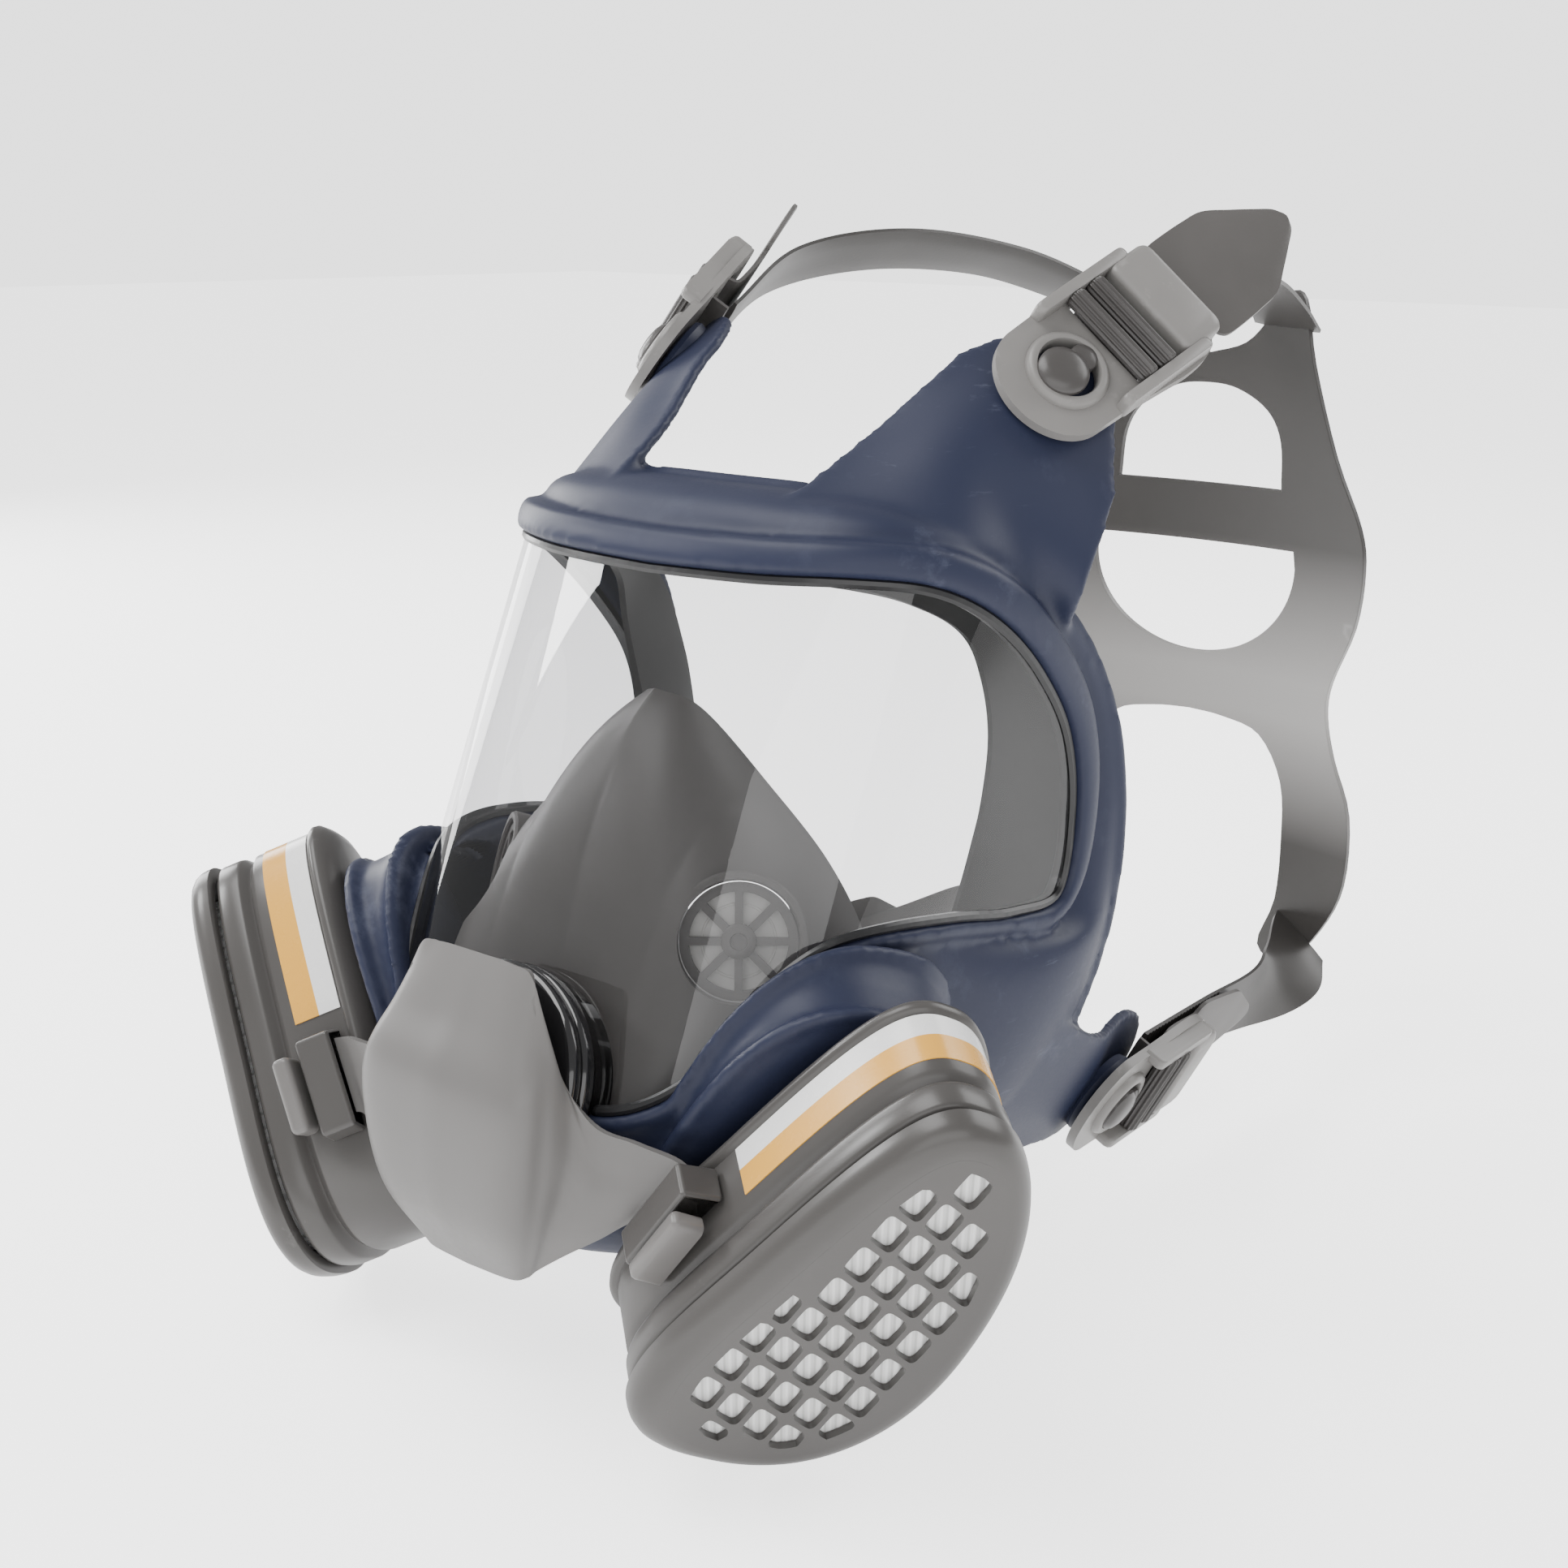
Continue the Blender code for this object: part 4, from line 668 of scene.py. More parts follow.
seal_rows = whole_rows(outside)
seal_start = (seal_rows - (WALL + 0.8) * grid_normals(seal_rows, True))[-1][: len(outside[0])]
seal_end = station_curve(4)
seal_bow = (seal_start + seal_end) / 2 + np.array([0.0, 5.0, 0.0])
seal_face = whole_rows(quadratic(seal_start, seal_bow, seal_end, np.linspace(0, 1, 15)))[::-1]
seal = make("face_seal_flap", sheet(seal_face, seal_face - 2.0 * grid_normals(seal_face, True), True))
seal_rubber = Finish("seal_rubber", (0.052, 0.050, 0.048), 0.55)
seal_rubber.mottle(seal_rubber.noise(24, 3), (0.008, 0.0075, 0.007), (0.014, 0.0135, 0.013), 0.45, 0.2)
wear(seal, "facepiece", "dark_rubber", seal_rubber, "face_seal")


# ---------------------------------------------------------------- nose cup
# A softer grey rubber cup inside the visor, moulded with upright folds. Each side has a round inlet:
# an eight-spoked plastic seat in a collar, with a pale disc of thin silicone behind it.

CUP_STATIONS = [
    # rim on the face        bow
    ((0.0, -58.0, 37.0), (0.0, -80.0, 22.0)),
    ((10.0, -51.0, 32.0), (22.0, -80.0, 19.0)),
    ((22.0, -38.0, 11.0), (42.0, -84.0, 6.0)),
    ((33.0, -27.0, -10.0), (56.0, -88.0, -10.0)),
    ((41.0, -21.0, -31.0), (62.0, -92.0, -28.0)),
    ((42.0, -17.0, -53.0), (60.0, -90.0, -48.0)),
    ((36.0, -19.0, -73.0), (48.0, -80.0, -74.0)),
    ((20.0, -26.0, -87.0), (30.0, -80.0, -92.0)),
    ((0.0, -29.0, -92.0), (0.0, -82.0, -96.0)),
]
CUP_BORE = 14.9
CUP_FOLD_PITCH = 26.0
CUP_VALVE_AXIS = unit((0.62, -0.74, 0.26))
cup_level = unit(np.cross((0, 0, 1), CUP_VALVE_AXIS))
in_cup_valve = placed((41.0, -72.5, -18.0), cup_level, np.cross(CUP_VALVE_AXIS, cup_level), CUP_VALVE_AXIS)


def cup_outside():
    """The cup from its collar on the valve port to its rim, a Bezier sheet with shallow folds."""
    rim = spline([station[0] for station in CUP_STATIONS], 16)
    bow = spline([station[1] for station in CUP_STATIONS], 16)
    angle = np.linspace(0, pi, len(rim))
    collar = in_valve(np.stack([27.3 * np.sin(angle), 27.3 * np.cos(angle), 0 * angle - 9.0], 1))
    rows = whole_rows(quadratic(collar, bow, rim, np.linspace(0, 1, 48)))
    across_share = np.sin(np.linspace(0, pi, 48))[:, None, None]
    folds = 1.4 * across_share * np.abs(np.sin(rows[..., :1] * pi / CUP_FOLD_PITCH)) ** 0.7
    return rows + folds * grid_normals(rows, True)


cup_face = cup_outside()
cup = make("nose_cup_rubber", sheet(cup_face, cup_face - 2.2 * grid_normals(cup_face, True), True), sharp=60)
cup_hole = turned([(CUP_BORE, -14), (CUP_BORE, 14)], in_cup_valve)
cut(cup, *both(cup_hole))
cup.data.shade_smooth()
cup.data.set_sharp_from_angle(angle=radians(60))
collar_profile = [(CUP_BORE, -7), (17.0, -7), (17.4, 1.2), (16.9, 1.9), (15.4, 1.9), (CUP_BORE, 1.4)]
cup_collar = make("nose_cup_collars", *both(turned(collar_profile, in_cup_valve, True)))
cup_rubber = Finish("cup_rubber", (0.150, 0.143, 0.136), 0.42)
cup_rubber.mottle(cup_rubber.noise(17, 2), (0.085, 0.080, 0.076), (0.135, 0.128, 0.122), 0.38, 0.15)
wear(cup, "facepiece", "grey_rubber", cup_rubber, "nose_cup")
wear(cup_collar, "facepiece", "grey_rubber", cup_rubber)


def polygon_inside(polygon, points):
    """Which points lie inside a polygon: those whose level ray crosses its edges an odd number of times."""
    x, y = points[:, 0][:, None], points[:, 1][:, None]
    x1, y1 = polygon[:, 0], polygon[:, 1]
    x2, y2 = np.roll(x1, -1), np.roll(y1, -1)
    rise = np.where(y2 == y1, 1.0, y2 - y1)
    crossed = ((y1 > y) != (y2 > y)) & (x < (x2 - x1) * (y - y1) / rise + x1)
    return crossed.sum(axis=1) % 2 == 1


def plate(outline, holes, high, low, place, filling=()):
    """A flat plate with through holes. high and low give the height of its two faces at flat points."""
    loops = [outline, *holes]
    flat = np.concatenate([*loops, *filling])
    starts = np.cumsum([0] + [len(loop) for loop in loops])
    edges = []
    for start, loop in zip(starts, loops):
        index = np.arange(len(loop))
        edges += np.stack([start + index, start + (index + 1) % len(loop)], 1).tolist()
    made = delaunay_2d_cdt([Vector(point) for point in flat.tolist()], edges, [], 1, 1e-5)
    flat = np.array([(point.x, point.y) for point in made[0]])
    triangles = np.array(made[2])
    middles = flat[triangles].mean(axis=1)
    keep = polygon_inside(np.asarray(outline), middles)
    for hole in holes:
        keep &= ~polygon_inside(np.asarray(hole), middles)
    used, index = np.unique(triangles[keep], return_inverse=True)
    triangles, flat = index.reshape(-1, 3), flat[used]
    count = len(flat)
    points = [place(np.column_stack([flat, height(flat)])) for height in (high, low)]
    directed = np.concatenate([triangles[:, [0, 1]], triangles[:, [1, 2]], triangles[:, [2, 0]]])
    codes = directed[:, 0] * count + directed[:, 1]
    rim = directed[~np.isin(codes, directed[:, 1] * count + directed[:, 0])]
    walls = np.stack([rim[:, 1], rim[:, 0], rim[:, 0] + count, rim[:, 1] + count], 1)
    faces = triangles.tolist() + (triangles[:, ::-1] + count).tolist() + walls.tolist()
    return np.concatenate(points), faces


def level(height):
    """A face of a plate at one height all over."""
    return lambda flat: np.full(len(flat), height)


def circle(radius, count=64):
    """A ring of points round the middle."""
    angle = np.arange(count) * 2 * pi / count
    return np.stack([radius * np.cos(angle), radius * np.sin(angle)], 1)


def spoked_seat(radius, hub, spokes, web, low, high, place):
    """A disc with open windows between its spokes: each window is an outer arc and a shorter inner arc."""
    rim = radius - 2.4
    step = 2 * pi / spokes
    arc = np.linspace(-1, 1, 14) * (step / 2 - web / 2 / rim)
    back = np.linspace(1, -1, 6) * (step / 2 - web / 2 / hub)
    radii = np.concatenate([np.full(14, rim), np.full(6, hub)])
    bearing = (np.arange(spokes)[:, None] + 0.5) * step + np.concatenate([arc, back])[None]
    windows = np.stack([radii * np.cos(bearing), radii * np.sin(bearing)], -1)
    return plate(circle(radius), list(windows), level(high), level(low), place)


seat_plastic = Finish("seat_plastic", (0.105, 0.099, 0.094), 0.38)
seat_plastic.feed("Roughness", 0.34 + seat_plastic.noise(120, 3) * 0.12)
pale_silicone = Finish("pale_silicone", (0.66, 0.65, 0.62), 0.4)
silicone_tones = (0.60, 0.59, 0.56), (0.74, 0.73, 0.70)
pale_silicone.feed("Base Color", pale_silicone.blend(pale_silicone.noise(90, 3), *silicone_tones))
seat_body = spoked_seat(14.6, 4.2, 8, 2.0, -1.6, 0.8, in_cup_valve)
hub = turned([(4.4, 0.5), (4.3, 1.7), (3.4, 2.2), (2.2, 2.3), (2.0, 1.6), (0.01, 1.5)], in_cup_valve)
flap_body = turned([(0.01, -2.0), (12.9, -2.0), (13.0, -2.4), (12.9, -2.8), (0.01, -2.8)], in_cup_valve)
SIDES = (("right", lambda body: body), ("left", mirrored))
flap_bead = turned([(8.6, -2.3), (8.9, -1.75), (9.3, -1.75), (9.6, -2.3)], in_cup_valve, True)
for side, flip in SIDES:
    seat = make(f"inlet_seat_{side}", flip(seat_body), flip(hub))
    wear(seat, "facepiece", "grey_rubber", seat_plastic, f"nose_cup_valve_seat_{side}")
    disc = make(f"inlet_disc_{side}", flip(flap_body), flip(flap_bead))
    wear(disc, f"cup_flap_{side}", "valve_rubber", pale_silicone, f"nose_cup_valve_flap_{side}")


# ---------------------------------------------------------------- front valve port
# A ribbed ring of polished black plastic clamped through the visor's chin. A six-spoked seat inside
# it holds a thin pale disc that lifts as the wearer breathes out.

port_profile = [(21.6, 8.0), (22.3, 8.6), (27.4, 8.6), (28.7, 8.2), (29.4, 7.3), (29.5, 5.9), (29.2, 5.2)]
port_profile += [(28.3, 4.8), (28.3, 3.9), (29.2, 3.5), (29.5, 2.8), (29.5, 0.7), (27.0, 0.7), (27.0, -5.0)]
port_profile += [(24.4, -5.0), (24.4, -16.0), (19.6, -16.0), (19.6, -7.4), (21.6, -7.4)]
port_ring = make("front_port_ring", turned(port_profile, in_valve, True, 144), sharp=50)
polished_black = Finish("polished_black", (0.012, 0.012, 0.013), 0.1, coat_weight=0.6, coat_roughness=0.04)
polished_black.feed("Roughness", 0.07 + polished_black.noise(60, 3) * 0.08)
wear(port_ring, "facepiece", "black_gloss", polished_black, "exhalation_port")
port_spokes = make("front_port_spokes", spoked_seat(21.3, 5.0, 6, 2.4, -7.0, -4.6, in_valve))
wear(port_spokes, "facepiece", "black_gloss", polished_black, "exhalation_valve_seat")
front_disc = make("front_disc", turned([(0.01, -4.2), (19.6, -4.2), (19.6, -3.4), (0.01, -3.2)], in_valve))
wear(front_disc, "exhalation_flap", "valve_rubber", pale_silicone, "exhalation_valve_flap")


# ---------------------------------------------------------------- front cover
# A thin moulding of pale satin plastic over the valve port: a soft-edged block whose two arms sweep
# back and hook into the filters' hoods. It is cut away round the port's right and left sides.

COVER_COLUMNS = [
    [(0, -121.5, -17), (0, -129, -31), (0, -137, -45), (0, -138.5, -62), (0, -136, -80), (0, -127, -97)],
    [(13, -121.5, -17.3), (20, -128.3, -32), (25, -135, -46),
     (24, -136.6, -62), (20.5, -134.5, -80), (14, -126, -97)],
    [(20, -121.5, -20), (27, -124, -35), (30.5, -128, -47),
     (30, -129.5, -63), (26, -129, -80), (18, -124, -96)],
    [(27, -122, -38), (31, -122, -45), (33, -122.5, -53),
     (33, -124, -66), (28, -125, -80), (20, -122.5, -94)],
    [(36, -119.5, -52), (37, -120, -57), (38, -120.5, -62),
     (38, -122, -70), (35, -122.5, -79), (28, -121.5, -88)],
]
ARM_TIP_TOP = -5.5
ARM_TIP_LOW = -26.5
ARM_TIP_SHORT = 39.2


def rounded(piece, width, segments=2):
    """Rounds a piece's crisp edges by a width in millimetres."""
    bevel = piece.modifiers.new("rounded", "BEVEL")
    bevel.width = width * MM
    bevel.segments = segments
    bevel.angle_limit = radians(40)
    bevel.harden_normals = True
    settle(piece)


def cover_half():
    """The cover's right half: its columns and its arm's tip, joined by a smooth curve through each row."""
    columns = [np.array(column, float) for column in COVER_COLUMNS]
    along = np.linspace(ARM_TIP_TOP, ARM_TIP_LOW, 6)
    tips = [
        in_filter(np.column_stack([along, np.full(6, ARM_TIP_SHORT), np.full(6, height)]))
        for height in (-38.0, -30.0)
    ]
    columns += [0.5 * (columns[-1] + tips[0]), *tips]
    return spline(spline(columns, 7).transpose(1, 0, 2), 9)


arm_half = cover_half()
cover_face = np.concatenate([arm_half[:, :0:-1] * np.array([-1.0, 1.0, 1.0]), arm_half], axis=1)[::-1]
cover = make("valve_cover", sheet(cover_face, cover_face - 1.9 * grid_normals(cover_face)), sharp=50)
rounded(cover, 0.5)
pale_plastic = Finish("pale_plastic", (0.17, 0.165, 0.16), 0.34, specular_ior_level=0.4)
cover_cloud = pale_plastic.noise(14, 2)
pale_plastic.feed("Base Color", pale_plastic.blend(cover_cloud, (0.138, 0.133, 0.129), (0.175, 0.169, 0.164)))
pale_plastic.feed("Roughness", 0.32 + pale_plastic.noise(500, 3) * 0.12)
pale_plastic.bump(pale_plastic.noise(1200, 2), 0.15, 0.04)
wear(cover, "facepiece", "cover_plastic", pale_plastic, "front_cover")


# ---------------------------------------------------------------- filters
# Two kidney-shaped canisters of warm grey plastic. Each has three tiers, a pierced front cap with
# pleated white paper behind it, a bed of carbon, and a glossy printed band in white and orange.

FILTER_POINTS = 160
FILTER_TURNS = np.arange(FILTER_POINTS) * 2 * pi / FILTER_POINTS
FILTER_HALF = 60.0
SKEW = np.array([[10.7, 0.0], [3.2, 9.3]])
HOLE_SHARE = 0.415
HOLE_CORNER = 0.42
HOLE_POINTS = 24
SLIVER = 0.06
LATCH_ALONG = -16.0
LATCH_HEIGHT = -22.0
LABEL_POINTS = 120
PLEAT_PITCH = 0.0026


def kidney(angle, grow=0.0):
    """The outline at an angle: a superellipse, narrower towards its top and bent into a bean."""
    c, s = np.cos(angle), np.sin(angle)
    along = (FILTER_HALF + grow) * np.sign(c) * np.abs(c) ** 0.8
    width = 32.5 * (1 - 0.30 * along / FILTER_HALF) + grow
    return np.stack([along, width * np.sign(s) * np.abs(s) ** 0.8 + 0.00225 * along**2], -1)


def kidney_ring(grow, height):
    """The outline grown by a distance, at a height along the filter's axis."""
    return in_filter(np.column_stack([kidney(FILTER_TURNS, grow), np.full(FILTER_POINTS, height)]))


def round_ring(radius, height):
    """A circle round the filter's axis at a height."""
    return in_filter(np.column_stack([circle(radius, FILTER_POINTS), np.full(FILTER_POINTS, height)]))


def clipped_holes(field):
    """The cap's holes: round-cornered diamonds on a leaning grid, drawn in where they cross the field."""
    angle = np.arange(HOLE_POINTS) * 2 * pi / HOLE_POINTS
    corner = np.stack([np.cos(angle), np.sin(angle)], 1)
    shape = np.sign(corner) * np.abs(corner) ** HOLE_CORNER * HOLE_SHARE @ SKEW
    row, column = np.meshgrid(np.arange(-6, 7), np.arange(-10, 11))
    middles = np.stack([column.ravel(), row.ravel()], 1) @ SKEW + np.array([2.0, 3.0])
    middles = middles[polygon_inside(field, middles)]
    low, high = np.zeros((len(middles), HOLE_POINTS)), np.ones((len(middles), HOLE_POINTS))
    for _ in range(14):
        trial = (low + high) / 2
        points = middles[:, None] + trial[..., None] * shape
        within = polygon_inside(field, points.reshape(-1, 2)).reshape(trial.shape)
        low, high = np.where(within, trial, low), np.where(within, high, trial)
    reach = np.where(high > 0.9999, 1.0, low)
    kept = reach.min(axis=1) > SLIVER
    return [middle + share[:, None] * shape for middle, share in zip(middles[kept], reach[kept])]


cap_holes = clipped_holes(kidney(FILTER_TURNS, -10.6))
cap_plate = plate(kidney(FILTER_TURNS, -7.0), cap_holes, level(0.0), level(-1.9), in_filter)
cap_rim = [(-7.2, -0.02), (-5.2, 0.0), (-3.4, -0.5), (-1.9, -1.5), (-0.8, -2.9), (-0.2, -4.6), (0, -6.2)]
cap_rim += [(0, -7.7), (-0.6, -8.2), (-3.0, -8.2), (-3.0, -5.0), (-7.2, -1.88)]
case = [(-4.4, -8.4), (-4.4, -9.3), (-2.4, -9.5), (-1.4, -10.0), (-1.0, -11.0), (-1.0, -16.0), (-1.3, -17.0)]
case += [(-3.0, -18.2), (-3.4, -19.0), (-2.6, -20.2), (-1.6, -21.4), (-1.6, -37.9), (-0.7, -38.5)]
case += [(-0.2, -39.5), (-0.4, -40.8), (-2.0, -42.6), (-4.2, -44.2), (-7.0, -45.0)]
rim_rings = [kidney_ring(*corner) for corner in cap_rim]
case_rings = [kidney_ring(*corner) for corner in case]
case_rings += [round_ring(12.7, -45.1), round_ring(12.7, -56.0), round_ring(10.4, -56.0)]
case_rings += [round_ring(10.4, -42.0)]
case_rings += [kidney_ring(-11.0, -42.0), kidney_ring(-5.6, -39.0), kidney_ring(-5.6, -9.0)]
paper_body = loft([kidney_ring(-8.6, -2.1), kidney_ring(-8.6, -14.0)])
label_turns = np.linspace(radians(-42), radians(88), LABEL_POINTS)
label_rows = np.array([
    in_filter(np.column_stack([kidney(label_turns, -1.6), np.full(LABEL_POINTS, height)]))
    for height in np.linspace(-24.2, -37.6, 7)
])
label_out = grid_normals(label_rows)
label_out *= np.sign(label_out[3, LABEL_POINTS // 2] @ (label_rows[3, LABEL_POINTS // 2] - FILTER_CENTRE))
label_body = sheet(label_rows + 0.28 * label_out, label_rows - 0.1 * label_out)
roof = ARM_TIP_SHORT + 3.2
hood_section = [(-1.5, 32.0), (-3.0, roof), (-29.0, roof), (-30.5, 35.4), (-28.0, 35.2), (-27.2, roof - 2.0)]
hood_section += [(-4.8, roof - 2.0), (-4.0, 32.4)]
hood_body = loft([in_filter([(a, b, height) for a, b in hood_section]) for height in (-36.4, -26.6)])


def rounded_box(half_x, half_y, radius, corner_points=8):
    """A rectangle with round corners, as a loop of points."""
    angle = np.linspace(0, pi / 2, corner_points)[None] + np.arange(4)[:, None] * pi / 2
    side = np.array([(1, 1), (-1, 1), (-1, -1), (1, -1)]) * (half_x - radius, half_y - radius)
    return (side[:, None] + radius * np.stack([np.cos(angle), np.sin(angle)], -1)).reshape(-1, 2)


def button_ring(grow, height):
    """The latch button's outline at a distance out from the filter's wall."""
    flat = rounded_box(10.4 + grow, 2.6 + grow, 1.9 + grow)
    along, up = flat[:, 0] + LATCH_ALONG, flat[:, 1] + LATCH_HEIGHT
    return in_filter(np.column_stack([along, np.full(len(flat), height), up]))


button_base = ARM_TIP_SHORT - 3.0
button_steps = ((0.0, 0.0), (0.0, 6.2), (-0.25, 7.0), (-0.8, 7.5), (-1.5, 7.7))
button_body = loft([button_ring(grow, button_base + height) for grow, height in button_steps])


def canister_finish(name, colour):
    """Warm grey moulded plastic: a fine spark-eroded grain, slight clouding and a few pale rubs."""
    finish = Finish(name, colour, 0.4, specular_ior_level=0.45)
    cloud = finish.noise(16, 2)
    rubs = finish.steps(finish.noise(70, 6, 0.7), (0.66, 0.0), (0.78, 0.35))
    dark, light = (tuple(share * level for level in colour) for share in (0.86, 1.25))
    clouded = finish.blend(cloud, dark, light)
    finish.feed("Base Color", finish.blend(rubs, clouded, (0.22, 0.212, 0.205)))
    finish.feed("Roughness", 0.26 + cloud * 0.08 + rubs * 0.2)
    finish.bump(finish.noise(1500, 2), 0.2, 0.05)
    return finish


canister = canister_finish("canister_plastic", (0.070, 0.066, 0.063))
# Painted highlight: the latch button takes a lighter copy of the canister finish in place of the light on its
# raised top; the button is the canister's own plastic.
button_painted_highlight = canister_finish("button_painted_highlight", (0.15, 0.143, 0.138))
for side, flip in SIDES:
    lean = np.array([1.0 if side == "right" else -1.0, 1.0, 1.0])
    body_name = f"filter_{side}"
    case_piece = make(f"filter_case_{side}", flip(loft(case_rings, True)), sharp=50)
    wear(case_piece, body_name, "filter_plastic", canister, f"filter_body_{side}")
    cap = make(f"filter_front_{side}", flip(cap_plate), flip(loft(rim_rings, True)), sharp=45)
    wear(cap, body_name, "filter_plastic", canister, f"filter_cap_{side}")
    pleated = Finish(f"pleated_paper_{side}", (0.86, 0.86, 0.85), 0.85)
    across_pleats = lean * (0.84 * FILTER_SHORT - 0.54 * FILTER_LONG)
    turn = pleated.along(across_pleats) * (2 * pi / PLEAT_PITCH)
    wave = pleated.add("ShaderNodeMath", {"operation": "SINE"}, {0: turn})
    fold = wave * 0.5 + 0.5
    # Painted shade: the pleats' valleys are darkened along the same wave that raises their bump.
    pleat_valley_shade = pleated.steps(fold, (0.0, 1.0), (0.22, 0.0))
    pleated.feed("Base Color", pleated.blend(pleat_valley_shade, (0.88, 0.88, 0.87), (0.55, 0.55, 0.54)))
    pleated.bump(fold, 0.9, 0.7)
    paper = make(f"filter_paper_{side}", flip(paper_body))
    wear(paper, body_name, "filter_media", pleated, f"filter_media_{side}")
    printed = Finish(f"printed_band_{side}", (0.9, 0.9, 0.9), 0.25, coat_weight=0.3, coat_roughness=0.15)
    depth = printed.along(lean * FILTER_AXIS) - float((FILTER_CENTRE - 31.4 * FILTER_AXIS) @ FILTER_AXIS) * MM
    band = depth > 0.0
    printed.feed("Base Color", printed.blend(band, (0.9, 0.9, 0.89), (0.83, 0.42, 0.055)))
    printed.feed("Roughness", 0.22 + printed.noise(200, 3) * 0.1)
    label = make(f"filter_band_{side}", flip(label_body))
    wear(label, body_name, "label_film", printed, f"filter_label_{side}")
    hood = make(f"filter_hood_{side}", flip(hood_body))
    rounded(hood, 1.1, 3)
    wear(hood, body_name, "filter_plastic", canister, f"arm_hood_{side}")
    button = make(f"filter_button_{side}", flip(button_body), sharp=50)
    wear(button, f"latch_{side}", "filter_plastic", button_painted_highlight, f"latch_button_{side}")


# ---------------------------------------------------------------- filter ports and carbon
# The plain turned ports, their gaskets and spoked seats, the thin inlet discs and the carbon beds
# keep the shape they have in the frame and take their finishes here.


def dress(finish, *nodes):
    """Gives nodes that stay as they are a finish."""
    for name in nodes:
        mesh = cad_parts[name].data
        mesh.materials.clear()
        mesh.materials.append(finish.material)


granules = Finish("carbon_granules", (0.02, 0.02, 0.02), 0.8)
granules.feed("Roughness", 0.6 + granules.noise(900, 2) * 0.3)
granules.bump(granules.noise(900, 2), 0.9, 0.6)
for side in ("right", "left"):
    dress(canister, f"filter_port_{side}", f"port_valve_seat_{side}")
    dress(gasket_rubber, f"port_gasket_{side}")
    dress(pale_silicone, f"port_valve_flap_{side}")
    dress(granules, f"carbon_bed_{side}")


# ---------------------------------------------------------------- studs and buckles
# Each strap ends in a moulded buckle that snaps over a rubber stud on its tab. The buckle is a keyed
# plate with raised side rails, a raised collar round its keyhole, and two ribbed rollers.


def strap_axes(centre, along, out):
    """Axes of a buckle: along its strap, across it, and out of the tab."""
    along = unit(along)
    out = unit(np.asarray(out) - np.dot(out, along) * along)
    return placed(centre, along, np.cross(out, along), out)


in_upper = strap_axes((64.9, 21.6, 111.6), (0.20, 0.88, 0.43), (0.67, -0.44, 0.60))
in_lower = strap_axes((66.6, 58.0, -92.5), (-0.06, 0.998, 0.0), (0.88, 0.05, -0.47))


def moved(place, shift):
    """The same axes with their middle shifted."""
    return lambda points: place(np.asarray(points, float) + np.asarray(shift, float))


def stacked(place, outline, middle, steps):
    """A raised body: its outline round a middle, scaled and lifted by each (scale, height) step."""
    rings = [np.column_stack([outline * grow + middle, np.full(len(outline), out)]) for grow, out in steps]
    return loft([place(ring) for ring in rings])


def buckle_bodies(place):
    """The buckle's plate, keyhole collar, side rails and cross bars."""
    nose = np.linspace(0, pi, 33)
    nose = np.stack([-2.0 - 14.5 * np.sin(nose), 17 * np.cos(nose)], 1)
    tail = spline([(10, -17.4), (22, -18.4), (30, -19), (38, -18.4), (43, -16), (45.6, -11), (46.4, 0)], 6)
    tail = np.concatenate([tail, tail[-2::-1] * np.array([1.0, -1.0])])
    outline = np.concatenate([nose, tail])
    slot = rounded_box(2.9, 13.6, 1.0)
    keyhole = circle(8.4) + (2.5, 0)
    flat = plate(outline, [keyhole, slot + (19.4, 0), slot + (29.8, 0)], level(5.5), level(2.7), place)
    collar_section = [(8.2, 3.2), (8.2, 6.8), (8.6, 7.5), (9.5, 7.7), (10.5, 7.3), (11.2, 6.2), (11.3, 4.0)]
    collar = turned(collar_section, moved(place, (2.5, 0, 0)), True)
    rail = rounded_box(17.0, 1.7, 1.5)
    rail_steps = ((1.0, 4.0), (1.0, 8.6), (0.97, 9.6), (0.9, 10.2))
    rails = [stacked(place, rail, (23.0, side * 16.2), rail_steps) for side in (-1, 1)]
    end_steps = ((1.0, 4.0), (1.0, 9.0), (0.97, 9.9), (0.90, 10.6), (0.78, 11.0))
    end_bar = stacked(place, rounded_box(7.4, 15.4, 2.6), (38.6, 0.0), end_steps)
    return [flat, collar, *rails, end_bar]


def roller(place, along, out):
    """A ribbed bar across the buckle: a circle whose radius ripples, carried across the strap."""
    angle = np.arange(120) * 2 * pi / 120
    radius = 2.7 + 0.28 * np.cos(12 * angle)
    sections = ((-14.6, 0.55), (-14.2, 0.9), (-13.4, 1.0), (13.4, 1.0), (14.2, 0.9), (14.6, 0.55))
    c, s = radius * np.cos(angle), radius * np.sin(angle)
    rings = [np.stack([along + grow * c, 0 * angle + across, out + grow * s], 1) for across, grow in sections]
    return loft([place(ring) for ring in rings])


stud_profile = [(0.01, 1.6), (3.4, 1.6), (3.4, 6.3), (6.4, 6.7), (6.9, 7.3), (6.8, 8.3), (5.9, 9.3)]
stud_profile += [(4.2, 9.9), (2.2, 10.2), (0.01, 10.25)]
lobe_profile = [(0.01, 3.0), (3.4, 3.0), (3.9, 6.4), (3.7, 7.4), (2.9, 8.0), (1.4, 8.3), (0.01, 8.4)]
pad_profile = [(0.01, -2.0), (12.6, -2.0), (13.2, 0.2), (12.6, 1.6), (11.0, 2.3), (0.01, 2.3)]
buckle_plastic = Finish("buckle_plastic", (0.33, 0.315, 0.30), 0.38, specular_ior_level=0.45)
buckle_cloud = buckle_plastic.noise(40, 4)
buckle_rubs = buckle_plastic.steps(buckle_plastic.noise(150, 5, 0.7), (0.6, 0.0), (0.75, 0.4))
buckle_tone = buckle_plastic.blend(buckle_cloud, (0.185, 0.178, 0.171), (0.25, 0.241, 0.232))
buckle_plastic.feed("Base Color", buckle_plastic.blend(buckle_rubs, buckle_tone, (0.36, 0.347, 0.334)))
